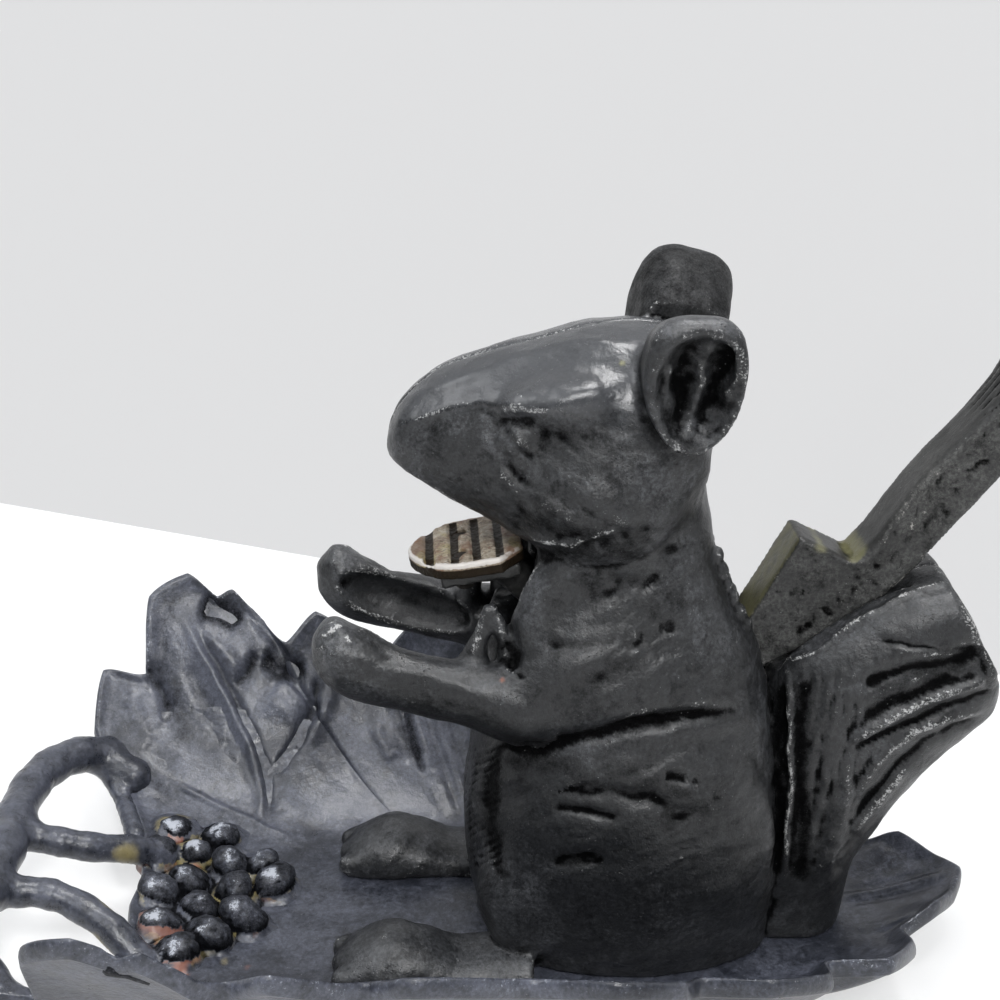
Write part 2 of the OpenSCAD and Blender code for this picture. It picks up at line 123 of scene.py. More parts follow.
def rough(p, size, seed, octaves):
    """Noise of several sizes at once, the largest as given."""
    total, amp, norm = 0.0, 1.0, 0.0
    for o in range(octaves):
        total = total + amp * lattice(p / (size / 2 ** o) + 31.7 * o, seed + o)
        norm += amp
        amp *= 0.55
    return total / norm


def to_line(uv, pts):
    """Distance from points to a polyline, and how far along it the nearest point is, 0 to 1."""
    pts = np.array(pts, float)
    seg = np.linalg.norm(np.diff(pts, axis=0), axis=1)
    run = np.concatenate([[0], np.cumsum(seg)])
    best = np.full(len(uv), 1e9)
    at = np.zeros(len(uv))
    for i in range(len(pts) - 1):
        a, b = pts[i], pts[i + 1]
        ab = b - a
        t = np.clip(((uv - a) @ ab) / max(ab @ ab, 1e-9), 0, 1)
        d = np.linalg.norm(uv - a - t[:, None] * ab, axis=1)
        near = d < best
        best = np.where(near, d, best)
        at = np.where(near, (run[i] + t * seg[i]) / run[-1], at)
    return best, at


def along(uv, pts, width):
    """A soft band along a course: 1 on it, fading out at about the width."""
    return np.exp(-(to_line(uv, pts)[0] / width) ** 2)


# ---- solid forms as distance fields -----------------------------------------

class Space:
    """A grid of cells that a form is worked out on."""

    def __init__(self, lo, hi, h):
        self.h = h
        self.lo = np.array(lo, float)
        self.n = np.ceil((np.array(hi, float) - self.lo) / h).astype(int) + 1
        self.x, self.y, self.z = [(self.lo[i] + h * np.arange(self.n[i])).astype(F32) for i in range(3)]
        self.f = np.full(self.n, 30.0, F32)
        self.tag = np.zeros(self.n, np.uint8)

    def part(self, lo, hi):
        s = []
        for i in range(3):
            a = int(np.clip(math.floor((lo[i] - self.lo[i]) / self.h), 0, self.n[i] - 1))
            b = int(np.clip(math.ceil((hi[i] - self.lo[i]) / self.h) + 1, a + 1, self.n[i]))
            s.append(slice(a, b))
        return tuple(s)

    def at(self, form, box):
        s = self.part(*(box or form.box))
        return s, form(self.x[s[0]][:, None, None], self.y[s[1]][None, :, None], self.z[s[2]][None, None, :])

    def add(self, form, k=0.0, tag=0, box=None):
        """Joins a form to what is there, with a fillet of about k."""
        s, g = self.at(form, box)
        f, g = self.f[s], g.astype(F32)
        if tag:
            self.tag[s] = np.where(g < f, tag, self.tag[s])
        self.f[s] = np.minimum(f, g) - fillet(f, g, k)

    def cut(self, form, k=0.0):
        """Takes a form away, with a fillet of about k."""
        s, g = self.at(form, None)
        f, g = self.f[s], -g.astype(F32)
        self.f[s] = np.maximum(f, g) + fillet(f, g, k)


def fillet(f, g, k):
    """What fills the corner between two forms."""
    if k == 0:
        return F32(0)
    h = np.maximum(k - np.abs(f - g), 0) / k
    return h * h * (k / 4)


def rounded(d, e, r):
    """Where a flat outline and a thickness meet in an edge of radius r; both are measured to its middle."""
    return np.minimum(np.maximum(d, e), 0) + np.sqrt(np.maximum(d, 0) ** 2 + np.maximum(e, 0) ** 2) - F32(r)


def row_loft(rows, m=6):
    """A skin through rows of [xa, za, xb, zb, half width, exponent, how much wider the b end is], as a field
    that y0 moves sideways."""
    r = catmull(rows, m)
    a, b = r[:, 0:2], r[:, 2:4]
    mid = (a + b) / 2
    length = np.linalg.norm(b - a, axis=1)
    nrm = np.stack([-(b - a)[:, 1], (b - a)[:, 0]], 1) / length[:, None]
    ahead = np.vstack([np.diff(mid, axis=0), (mid[-1] - mid[-2])[None]])
    nrm *= np.where((nrm * ahead).sum(1) < 0, -1, 1)[:, None]

    def flat(x, z):
        X, Z = np.meshgrid(x.ravel().astype(float), z.ravel().astype(float), indexing="ij")
        c = np.full(X.shape, 9.0)
        half, w, e, g = (np.full(X.shape, v) for v in (1.0, 1.0, 2.0, 0.0))
        row = np.zeros(X.shape)
        d0 = (X - a[0, 0]) * nrm[0, 0] + (Z - a[0, 1]) * nrm[0, 1]
        first = d0.copy()
        for i in range(len(r) - 1):
            d1 = (X - a[i + 1, 0]) * nrm[i + 1, 0] + (Z - a[i + 1, 1]) * nrm[i + 1, 1]
            hit = (d0 >= 0) & (d1 < 0)
            if hit.any():
                t = (d0[hit] / (d0[hit] - d1[hit]))[:, None]
                q = r[i] * (1 - t) + r[i + 1] * t
                ab = q[:, 2:4] - q[:, 0:2]
                ll = (ab * ab).sum(1)
                p = np.stack([X[hit], Z[hit]], 1) - q[:, 0:2]
                cc = 2 * (p * ab).sum(1) / ll - 1
                better = np.abs(cc) < np.abs(c[hit])
                for dst, val in ((c, cc), (half, np.sqrt(ll) / 2), (w, q[:, 4]), (e, q[:, 5]), (g, q[:, 6]),
                                 (row, i + t[:, 0])):
                    cur = dst[hit]
                    cur[better] = val[better]
                    dst[hit] = cur
            d0 = d1
        last = d0
        for i, d in ((0, -first), (len(r) - 1, last)):
            out = (d > 0) & (c > 8)
            ab = b[i] - a[i]
            cc = 2 * ((X - a[i, 0]) * ab[0] + (Z - a[i, 1]) * ab[1]) / (ab @ ab) - 1
            out &= np.abs(cc) < 6
            c[out] = cc[out]
            half[out], w[out], e[out], g[out], row[out] = length[i] / 2, r[i, 4], r[i, 5], r[i, 6], i
        cap = np.maximum(-first, last)
        return c, half, w, e, g, cap, row

    def field(x, y, z, y0=0.0):
        c, half, w, e, g, cap, _ = flat(x, z)
        wide = (w * (1 + g * np.clip(c, -1, 1)))[:, None, :].astype(F32)
        c, half, e, cap = (q[:, None, :].astype(F32) for q in (c, half, e, cap))
        yy = np.abs(y - F32(y0))
        rr = np.power(np.power(np.abs(c), e) + np.power(yy / wide, e), 1 / e)
        rho = np.sqrt((c * half) ** 2 + yy * yy)
        f = rho * (1 - 1 / np.maximum(rr, 1e-3))
        f = np.where(c > 8, F32(30), f)
        k = F32(1.4)
        return np.where(cap > k, np.sqrt(np.maximum(f, 0) ** 2 + cap * cap),
                        np.maximum(f, cap) + fillet(f, cap, k))

    field.flat = flat
    pad = 5
    field.box = ((min(a[:, 0].min(), b[:, 0].min()) - pad, -r[:, 4].max() * 1.15 - pad,
                  min(a[:, 1].min(), b[:, 1].min()) - pad),
                 (max(a[:, 0].max(), b[:, 0].max()) + pad, r[:, 4].max() * 1.15 + pad,
                  max(a[:, 1].max(), b[:, 1].max()) + pad))
    return field


def shifted(box, y0):
    return ((box[0][0], box[0][1] + y0, box[0][2]), (box[1][0], box[1][1] + y0, box[1][2]))


def turn(ax, ay, az):
    ax, ay, az = (math.radians(v) for v in (ax, ay, az))
    rx = np.array([[1, 0, 0], [0, math.cos(ax), -math.sin(ax)], [0, math.sin(ax), math.cos(ax)]])
    ry = np.array([[math.cos(ay), 0, math.sin(ay)], [0, 1, 0], [-math.sin(ay), 0, math.cos(ay)]])
    rz = np.array([[math.cos(az), -math.sin(az), 0], [math.sin(az), math.cos(az), 0], [0, 0, 1]])
    return rz @ ry @ rx


def ball(c, r, rot=None):
    m = np.eye(3) if rot is None else rot

    def field(x, y, z):
        d = (x - F32(c[0]), y - F32(c[1]), z - F32(c[2]))
        q = [F32(m[0, i]) * d[0] + F32(m[1, i]) * d[1] + F32(m[2, i]) * d[2] for i in range(3)]
        k0 = np.sqrt(sum((q[i] / F32(r[i])) ** 2 for i in range(3)))
        k1 = np.sqrt(sum((q[i] / F32(r[i] ** 2)) ** 2 for i in range(3)))
        return k0 * (k0 - 1) / np.maximum(k1, 1e-4)
    big = max(r) + 5
    field.box = (tuple(v - big for v in c), tuple(v + big for v in c))
    return field


def bar(path, radius):
    """A round bar along points; radius may differ at each point."""
    path = np.array(path, float)
    rad = np.full(len(path), radius) if np.isscalar(radius) else np.array(radius, float)

    def field(x, y, z):
        out = None
        for i in range(len(path) - 1):
            a, ab = path[i], path[i + 1] - path[i]
            t = ((x - F32(a[0])) * F32(ab[0]) + (y - F32(a[1])) * F32(ab[1])
                 + (z - F32(a[2])) * F32(ab[2])) / F32(ab @ ab)
            t = np.clip(t, 0, 1)
            d = np.sqrt((x - F32(a[0]) - t * F32(ab[0])) ** 2 + (y - F32(a[1]) - t * F32(ab[1])) ** 2
                        + (z - F32(a[2]) - t * F32(ab[2])) ** 2)
            d = d - (F32(rad[i]) + t * F32(rad[i + 1] - rad[i]))
            out = d if out is None else np.minimum(out, d)
        return out
    m = rad.max() + 5
    field.box = (tuple(path.min(0) - m), tuple(path.max(0) + m))
    return field


def outline(pts):
    """Signed distance to a closed outline in x and z."""
    pts = np.array(pts, float)

    def flat(x, z):
        X, Z = np.meshgrid(x.ravel().astype(float), z.ravel().astype(float), indexing="ij")
        d = np.full(X.shape, 1e9)
        inside = np.zeros(X.shape, bool)
        n = len(pts)
        for i in range(n):
            p, q = pts[i], pts[(i + 1) % n]
            e = q - p
            wx, wz = X - p[0], Z - p[1]
            t = np.clip((wx * e[0] + wz * e[1]) / (e @ e), 0, 1)
            d = np.minimum(d, np.hypot(wx - e[0] * t, wz - e[1] * t))
            cross = ((p[1] > Z) != (q[1] > Z))
            with np.errstate(divide="ignore", invalid="ignore"):
                xi = p[0] + (Z - p[1]) * e[0] / (e[1] if e[1] else 1e-12)
            inside ^= cross & (X < xi)
        return np.where(inside, -d, d)
    return flat


def plate(pts, half, rounding):
    """A flat piece across the figure with softened edges."""
    flat = outline(pts)
    pts = np.array(pts, float)

    def field(x, y, z):
        d = flat(x, z)[:, None, :].astype(F32) + F32(rounding)
        return rounded(d, np.abs(y) - F32(half - rounding), rounding)
    lo, hi = pts.min(0) - 4, pts.max(0) + 4
    field.box = ((lo[0], -half - 4, lo[1]), (hi[0], half + 4, hi[1]))
    return field


def across(p, r, y0, y1):
    """A round pin or hole across the figure."""
    def field(x, y, z):
        d = np.sqrt((x - F32(p[0])) ** 2 + (z - F32(p[1])) ** 2) - F32(r)
        e = np.abs(y - F32((y0 + y1) / 2)) - F32((y1 - y0) / 2)
        return np.maximum(d, e)
    field.box = ((p[0] - r - 4, y0 - 4, p[1] - r - 4), (p[0] + r + 4, y1 + 4, p[1] + r + 4))
    return field


def nets(space):
    """The surface where the field is zero, as points and four-sided faces."""
    f = space.f
    inside = f < 0
    nx, ny, nz = f.shape
    corner = [(i, j, k) for i in (0, 1) for j in (0, 1) for k in (0, 1)]
    count = np.zeros((nx - 1, ny - 1, nz - 1), np.uint8)
    for i, j, k in corner:
        count += inside[i:nx - 1 + i, j:ny - 1 + j, k:nz - 1 + k]
    cell = np.argwhere((count > 0) & (count < 8))
    val = np.stack([f[cell[:, 0] + i, cell[:, 1] + j, cell[:, 2] + k] for i, j, k in corner], 1)
    pos = np.array(corner, float)
    total = np.zeros((len(cell), 3))
    num = np.zeros(len(cell))
    for a in range(8):
        for b in range(a + 1, 8):
            if np.abs(pos[a] - pos[b]).sum() != 1:
                continue
            m = (val[:, a] < 0) != (val[:, b] < 0)
            t = val[m, a] / (val[m, a] - val[m, b])
            total[m] += pos[a] + t[:, None] * (pos[b] - pos[a])
            num[m] += 1
    v = (cell + total / num[:, None]) * space.h + space.lo
    idx = np.full((nx - 1, ny - 1, nz - 1), -1, np.int32)
    idx[cell[:, 0], cell[:, 1], cell[:, 2]] = np.arange(len(cell))
    faces = []
    for ax in range(3):
        lo = [slice(1, -1)] * 3
        hi = [slice(1, -1)] * 3
        lo[ax], hi[ax] = slice(0, -1), slice(1, None)
        a, b = inside[tuple(lo)], inside[tuple(hi)]
        e = np.argwhere(a != b)
        flip = a[tuple(e.T)]
        base = e + 1
        base[:, ax] -= 1
        u, w = [(1, 2), (2, 0), (0, 1)][ax]
        q = []
        for du, dw in ((-1, -1), (0, -1), (0, 0), (-1, 0)):
            c = base.copy()
            c[:, u] += du
            c[:, w] += dw
            q.append(idx[c[:, 0], c[:, 1], c[:, 2]])
        q = np.stack(q, 1)
        q[~flip] = q[~flip][:, ::-1]
        faces.append(q)
    faces = np.concatenate(faces)
    return v, faces[(faces >= 0).all(1)], space.tag[cell[:, 0], cell[:, 1], cell[:, 2]]


def normals(v, q):
    n = np.zeros_like(v)
    d = np.cross(v[q[:, 2]] - v[q[:, 0]], v[q[:, 3]] - v[q[:, 1]])
    for i in range(4):
        for c in range(3):
            n[:, c] += np.bincount(q[:, i], d[:, c], len(v))
    return n / np.maximum(np.linalg.norm(n, axis=1), 1e-12)[:, None]


def edges_of(q):
    return np.concatenate([q[:, [i, (i + 1) % 4]] for i in range(4)])


def relax(values, e, times):
    """Evens values out over the mesh."""
    n = len(values)
    ways = np.maximum(np.bincount(e[:, 0], None, n) + np.bincount(e[:, 1], None, n), 1)[:, None]
    out = values.reshape(n, -1)
    for _ in range(times):
        around = np.stack([np.bincount(e[:, 0], c[e[:, 1]], n) + np.bincount(e[:, 1], c[e[:, 0]], n)
                           for c in out.T], 1)
        out = 0.5 * out + 0.5 * around / ways
    return out.reshape(values.shape)


def bend(v, q, times):
    """How far each point stands proud of its neighbours, in mm: edges above 0, creases below."""
    return ((v - relax(v, edges_of(q), times)) * normals(v, q)).sum(1)


def in_scene(name, data):
    o = bpy.data.objects.new(name, data)
    bpy.context.scene.collection.objects.link(o)
    return o


def to_mesh(name, v, q, paint, material, fans=None):
    """A mesh of four-sided faces and, from fans, triangles; each paint has one value a point."""
    me = bpy.data.meshes.new(name)
    me.vertices.add(len(v))
    me.vertices.foreach_set("co", (v * MM).astype(F32).ravel())
    faces = [q] if fans is None else [q, fans]
    corners = np.concatenate([f.ravel() for f in faces])
    sides = np.concatenate([np.full(len(f), f.shape[1]) for f in faces])
    me.loops.add(len(corners))
    me.loops.foreach_set("vertex_index", corners.astype(np.int32))
    me.polygons.add(len(sides))
    me.polygons.foreach_set("loop_start", (np.cumsum(sides) - sides).astype(np.int32))
    me.update(calc_edges=True)
    me.validate()
    me.polygons.foreach_set("use_smooth", np.ones(len(me.polygons), bool))
    for key, val in paint.items():
        at = me.attributes.new(key, "FLOAT", "POINT")
        at.data.foreach_set("value", np.asarray(val, F32))
    me.materials.append(material)
    return in_scene(name, me)


# ---- materials --------------------------------------------------------------

class Nodes:
    """Short names for building a material."""

    def __init__(self, name):
        self.mat = bpy.data.materials.new(name)
        self.mat.use_nodes = True
        self.t = self.mat.node_tree
        self.bsdf = self.t.nodes["Principled BSDF"]
        self.out = self.t.nodes["Material Output"]
        self.place = self.t.nodes.new("ShaderNodeTexCoord").outputs["Object"]

    def link(self, a, b):
        self.t.links.new(a, b)

    def put(self, node, socket, val):
        s = node.inputs[socket]
        if isinstance(val, bpy.types.NodeSocket):
            self.link(val, s)
        else:
            s.default_value = val

    def noise(self, per_mm, detail=4.0, coarse=0.55, warp=0.0):
        n = self.t.nodes.new("ShaderNodeTexNoise")
        self.link(self.place, n.inputs["Vector"])
        for key, val in (("Scale", per_mm / MM), ("Detail", detail), ("Roughness", coarse),
                         ("Distortion", warp)):
            n.inputs[key].default_value = val
        return n.outputs["Fac"]

    def cells(self, per_mm):
        n = self.t.nodes.new("ShaderNodeTexVoronoi")
        self.link(self.place, n.inputs["Vector"])
        n.inputs["Scale"].default_value = per_mm / MM
        return n.outputs["Distance"]

    def attr(self, name):
        n = self.t.nodes.new("ShaderNodeAttribute")
        n.attribute_type = "GEOMETRY"
        n.attribute_name = name
        return n.outputs["Fac"]

    def math(self, op, a, b, clamp=False):
        n = self.t.nodes.new("ShaderNodeMath")
        n.operation = op
        n.use_clamp = clamp
        self.put(n, 0, a)
        self.put(n, 1, b)
        return n.outputs[0]

    def mul(self, a, b):
        return self.math("MULTIPLY", a, b)

    def add(self, a, b, clamp=False):
        return self.math("ADD", a, b, clamp)

    def sub(self, a, b):
        return self.math("SUBTRACT", a, b)

    def swing(self, x, by):
        """Noise around its middle, as a change of up to about half of by either way."""
        return self.mul(self.sub(x, 0.5), by)

    def span(self, x, a, b, lo=0.0, hi=1.0):
        """Eases from lo, where x is a, to hi, where it is b."""
        n = self.t.nodes.new("ShaderNodeMapRange")
        n.interpolation_type = "SMOOTHSTEP"
        self.put(n, "Value", x)
        for key, val in (("From Min", a), ("From Max", b), ("To Min", lo), ("To Max", hi)):
            n.inputs[key].default_value = val
        return n.outputs["Result"]

    def mix(self, fac, a, b, kind="MIX"):
        n = self.t.nodes.new("ShaderNodeMix")
        n.data_type = "RGBA"
        n.blend_type = kind
        self.put(n, 0, fac)
        for i, c in ((6, a), (7, b)):
            if isinstance(c, tuple):
                n.inputs[i].default_value = (*c, 1.0)
            else:
                self.link(c, n.inputs[i])
        return n.outputs[2]

    def bump(self, height, strength, distance_mm):
        n = self.t.nodes.new("ShaderNodeBump")
        n.inputs["Strength"].default_value = strength
        n.inputs["Distance"].default_value = distance_mm * MM
        self.link(height, n.inputs["Height"])
        return n.outputs["Normal"]


def shade(colour, by):
    return tuple(c * by for c in colour)


def japan(name, dark, dust_and_light_grey, worn=(0.36, 0.36, 0.355), gloss=0.34, speck=1.0, pit=1.0, dusting=0.0, tints=()):
    """Old black japan over cast iron: black in creases as painted shade, in colour and reflection; a grey
    film that the tone attribute (dustiness and painted light) lifts; smeared grey on flats, rubbed pale in
    specks.
    """
    m = Nodes(name)
    wear, hollow, tone, matte = m.attr("wear"), m.attr("hollow"), m.attr("tone"), m.attr("matte")
    broad = m.noise(0.05, 5, 0.62, 0.1)
    mid = m.noise(0.26, 6, 0.66, 0.15)
    fine = m.noise(0.9, 4, 0.62)
    grit = m.noise(2.4, 3, 0.6)
    mottle = m.add(m.mul(broad, 0.34), m.mul(mid, 0.44))
    mottle = m.add(mottle, m.mul(fine, 0.22))
    mottle = m.add(m.swing(mottle, 1.9), 0.5)
    # painted light and dustiness: the tone attribute lifts the colour towards dust_and_light_grey
    dust_and_light = m.span(m.add(mottle, m.mul(tone, 0.42)), 0.58 - dusting, 1.00 - dusting)
    col = m.mix(dust_and_light, dark, dust_and_light_grey)
    smear = m.span(m.noise(0.42, 8, 0.74, 0.25), 0.53, 0.74)
    col = m.mix(m.mul(smear, 0.40), col, shade(dust_and_light_grey, 1.3))
    stain = m.span(m.noise(0.13, 9, 0.76, 0.2), 0.50, 0.66)
    stain = m.mul(stain, m.add(m.mul(matte, 0.75), 0.25))
    col = m.mix(m.mul(stain, 0.75), col, shade(dark, 0.25))
    # painted shade: the hollow attribute blackens the creases, broken up by noise, in colour here and in
    # reflection below
    blot = m.noise(0.34, 8, 0.72, 0.3)
    deep = m.add(m.add(hollow, m.mul(matte, 0.10)), m.swing(blot, 1.0))
    deep = m.span(m.add(deep, m.swing(grit, 0.5)), 0.12, 0.95)
    deep = m.mul(deep, m.span(m.add(hollow, m.mul(matte, 0.10)), 0.0, 0.16))
    col = m.mix(m.mul(deep, 0.96), col, shade(dark, 0.05))
    # reflection dulled in the stains, and killed in the deep hollows as painted shade
    sheen = m.mix(m.mul(stain, 0.72), (1.0, 1.0, 1.0), (0.25, 0.25, 0.25))
    sheen = m.mix(m.mul(deep, 0.97), sheen, (0.02, 0.02, 0.02))
    m.link(sheen, m.bsdf.inputs["Specular Tint"])
    # fine peppering
    pepper = m.span(m.noise(1.3, 7, 0.78), 0.40, 0.60, 0.30, 1.62)
    col = m.mix(m.add(m.mul(matte, 0.70), 0.15), col, m.mix(1.0, col, pepper, "MULTIPLY"))
    for attr, colour, amount in tints:
        a = m.span(m.add(m.attr(attr), m.swing(mid, 0.9)), 0.30, 0.85)
        a = m.mul(a, m.span(m.attr(attr), 0.0, 0.15))
        col = m.mix(m.mul(a, amount), col, colour)
    # rubbed edges, broken up by the grit
    rub = m.add(wear, m.swing(fine, 1.0))
    rub = m.add(rub, m.swing(grit, 1.3))
    rubbed = m.mul(m.span(rub, 0.42, 0.78), m.span(wear, 0.02, 0.2))
    col = m.mix(m.mul(rubbed, 0.85), col, worn)
    # pale specks and dark pits
    dots = m.mul(m.span(m.cells(0.8), 0.0, 0.15, 1.0, 0.0), m.span(m.noise(0.16, 3), 0.50, 0.62))
    col = m.mix(m.mul(dots, 0.22 * speck), col, (0.5, 0.5, 0.5))
    pits = m.mul(m.span(m.cells(1.25), 0.0, 0.25, 1.0, 0.0), m.span(m.noise(0.10, 3), 0.46, 0.60))
    pits = m.mul(pits, m.add(m.mul(matte, 0.85), 0.15))
    col = m.mix(m.mul(pits, 0.75 * pit), col, shade(dark, 0.12))
    m.link(col, m.bsdf.inputs["Base Color"])
    r = m.add(m.mul(matte, 0.20), m.swing(mid, 0.30))
    r = m.add(r, gloss)
    r = m.add(r, m.swing(grit, 0.10))
    r = m.add(r, m.mul(deep, 0.38))
    r = m.add(r, m.mul(rubbed, 0.16), clamp=True)
    m.link(r, m.bsdf.inputs["Roughness"])
    height = m.add(m.mul(fine, 0.8), m.mul(grit, 0.30))
    height = m.sub(height, m.mul(pits, 1.1 * pit))
    height = m.mul(height, m.add(m.mul(matte, 0.85), 0.15))
    height = m.add(height, m.mul(mid, 1.2))
    m.link(m.bump(height, 0.65, 0.32), m.bsdf.inputs["Normal"])
    m.bsdf.inputs["Specular IOR Level"].default_value = 0.55
    return m.mat


def bare_iron(name, gloss=0.42):
    """Worn bare iron of the jaw plate: pale where rubbed, rusty towards the ends, greenish in patches, and
    near-black in the grooves and lower half as painted shade.
    """
    m = Nodes(name)
    wear, hollow = m.attr("wear"), m.attr("hollow")
    broad, mid = m.noise(0.12, 4, 0.6, 0.6), m.noise(0.35, 5, 0.65, 0.4)
    fine, grit = m.noise(1.1, 4), m.noise(2.8, 3)
    col = m.mix(m.span(mid, 0.35, 0.65), (0.20, 0.15, 0.10), (0.44, 0.39, 0.31))
    col = m.mix(m.mul(m.span(m.add(m.attr("rust"), m.swing(mid, 1.2)), 0.3, 0.8), 0.8), col,
                (0.13, 0.075, 0.045))
    col = m.mix(m.mul(m.span(broad, 0.52, 0.68), 0.75), col, (0.33, 0.28, 0.13))
    col = m.mix(m.mul(m.span(m.noise(0.2, 4, 0.6, 0.8), 0.50, 0.66), 0.85), col, (0.17, 0.085, 0.05))
    # painted shade: where the hollow paint is high, near-black in colour and reflection
    deep = m.span(m.add(hollow, m.swing(fine, 0.8)), 0.2, 0.75)
    grain = m.mul(m.span(m.noise(1.7, 6, 0.76), 0.49, 0.60), m.span(m.noise(0.22, 3), 0.36, 0.60, 0.25, 0.85))
    col = m.mix(grain, col, (0.075, 0.055, 0.035))
    col = m.mix(m.mul(deep, 0.985), col, (0.013, 0.009, 0.0055))
    m.link(m.mix(deep, (1.0, 1.0, 1.0), (0.1, 0.1, 0.1)), m.bsdf.inputs["Specular Tint"])
    rub = m.span(m.add(wear, m.swing(fine, 0.9)), 0.35, 0.8)
    col = m.mix(m.mul(rub, 0.85), col, (0.62, 0.59, 0.56))
    m.link(col, m.bsdf.inputs["Base Color"])
    m.link(m.span(fine, 0.3, 0.7, gloss, gloss + 0.2), m.bsdf.inputs["Roughness"])
    h = m.add(m.mul(fine, 0.7), m.mul(grit, 0.4))
    m.link(m.bump(h, 0.7, 0.35), m.bsdf.inputs["Normal"])
    m.bsdf.inputs["Metallic"].default_value = 0.15
    return m.mat


def steel(name, colour, rust, gloss=0.38):
    """Old turned steel with a little rust."""
    m = Nodes(name)
    mid, fine = m.noise(0.5, 4, 0.6), m.noise(2.2, 4, 0.6)
    col = m.mix(m.span(mid, 0.42, 0.66), colour, shade(colour, 0.5))
    col = m.mix(m.mul(m.span(m.noise(0.8, 4, 0.6, 0.5), 0.54, 0.68), 0.8), col, rust)
    m.link(col, m.bsdf.inputs["Base Color"])
    m.link(m.span(fine, 0.3, 0.7, gloss, gloss + 0.25), m.bsdf.inputs["Roughness"])
    m.link(m.bump(fine, 0.5, 0.08), m.bsdf.inputs["Normal"])
    m.bsdf.inputs["Metallic"].default_value = 0.85
    return m.mat


# ---- the figure -------------------------------------------------------------

TRUNK = [[-3, 8, 61, 8, 25, 2.6, 0], [-7, 22, 61, 22, 28, 2.6, 0.05],
         [-8, 38, 60.5, 38, 29, 2.5, 0.05], [-6.5, 52, 59, 54, 28, 2.4, 0.04],
         [-5, 64, 57, 68, 26, 2.3, 0.02], [-4.5, 76, 54, 80, 24, 2.3, 0],
         [-0.4, 87, 48.4, 90, 21, 2.5, 0], [4.6, 97, 44.3, 100, 18.5, 2.6, 0],
         [8.6, 108, 42.6, 110, 17, 2.2, 0], [12, 120, 40, 120, 15, 2, 0]]
SKULL = [[-23.0, 121, -22, 127, 3.4, 2, 0], [-21, 118.4, -19.2, 131.6, 7, 2.2, -0.05],
         [-14, 113.7, -12.4, 137.6, 10.5, 2.4, -0.12], [-4, 108, -2.2, 141.2, 14, 2.5, -0.14],
         [6, 101.8, 8, 143.8, 17.6, 2.4, -0.14], [16, 100.5, 18, 146.2, 20.4, 2.3, -0.14],
         [27, 102, 27, 147, 21, 2.2, -0.12], [36, 106, 35, 145, 18.6, 2.1, -0.08],
         [41, 112.5, 39.5, 139, 13, 2, 0], [42.4, 121, 42, 131, 5.5, 2, 0]]
TAIL_ROOT = [[77.6, 8, 50, 8, 14.5, 2.4, 0], [79.4, 24, 50, 27, 16, 2.4, 0],
             [84.8, 34.5, 52, 44, 17, 2.4, 0], [91.6, 44.6, 55, 60, 17.3, 2.5, 0],
             [99.4, 53, 60, 75.5, 17, 2.6, 0], [105.4, 59.6, 72.5, 85.4, 16.6, 2.8, 0],
             [106.5, 64, 82.5, 90.6, 16, 3, 0], [106, 68, 92.6, 93, 15.6, 3, 0]]
FORE_LEG = [[18, 66, 16, 79, 2.5, 2, 0], [12, 62.5, 11, 81, 5.6, 2, 0],
            [4, 62.6, 3, 80.2, 7.4, 2, 0], [-7, 66.8, -7, 80.8, 6.6, 2, 0],
            [-17.5, 69.8, -18.5, 83.4, 5.6, 2, 0], [-27, 72.2, -28.5, 88.4, 6.2, 2, 0],
            [-33.5, 74.6, -34.5, 91, 5.8, 2, 0], [-38.2, 79.5, -38.6, 86.5, 3, 2, 0]]
TOE_IN = 0.07
HIND_FOOT = [[6, 6, 6, 15, 9, 2.2, -0.1], [-9, 6, -9, 14, 8.4, 2.2, -0.1],
             [-18, 6, -18, 17.8, 9, 2.2, -0.1], [-26, 6, -26, 19, 9.4, 2.2, -0.1],
             [-32.5, 6, -33, 15.6, 7.8, 2.2, -0.1], [-36.5, 7, -36.5, 12, 4, 2, 0]]
EAR = [[10, 34.5, 138, 8, 8], [16, 34.6, 140, 9, 11], [21, 34.6, 140.6, 9.4, 12.7],
       [25.5, 34.6, 140.6, 9.6, 13.2], [27.4, 34.6, 140.4, 8.9, 12.5]]
EAR_WIDER_TOP, EAR_SQUARE, EAR_LEAN, EAR_HINGE = 0.12, 0.35, 17, (34, 130)
EAR_EDGE = 3.4
REACH = 2.6                               # a mark is worked out this many widths away from its course
EAR_MORE = np.array([1.1, 1.0, 1.12])     # the right ear is a little larger
CUP_C, CUP_R = (35.0, 29.8, 139.9), (8.7, 8.0, 12.1)
LEVER_WAY = [[8, 78], [25, 64], [50, 66], [59, 71.6], [62, 72.4], [79.6, 84.3],
             [92, 97.4], [112, 118], [112, 140], [58, 122], [47, 96], [38, 92], [24, 94], [9, 99.5]]
STEM_WAY = [[-20, 77], [8, 75.5], [10, 80], [10, 99.5], [-20, 99.5]]
THROAT = [[-26, 74], [-14, 78.6], [-5, 82.6], [3, 85.4], [6.4, 87], [6.4, 103], [-26, 103]]
SCREWS = [(28, 122), (7, 55), (67, 33)]
SCREW_HOLE = (4.8, 12, 40)                # radius, from y, to y
PIVOT = (40, 77)
SLOT, THROAT_HALF, FIGURE_FOOT = 6.1, 12.1, 8.0
FOOT_Y, LEG_Y, TOES_Y = 20.5, 18.5, (15.2, 20.6, 25.8)
# Middle, radii and fillet of the swellings, each made of balls
HAUNCH = [((29, 20.5, 38), (27, 10.5, 29), 4.0), ((6, 18, 26), (12, 8.4, 15), 3.0)]
CHEEK_AND_BROW = [((19, 15, 113.5), (14, 8.5, 11), 5.0), ((12, 14, 134), (12, 4.6, 5), 4.0),
                  ((3.4, 14.4, 127.4), (4, 2.4, 2.8), 2.0)]
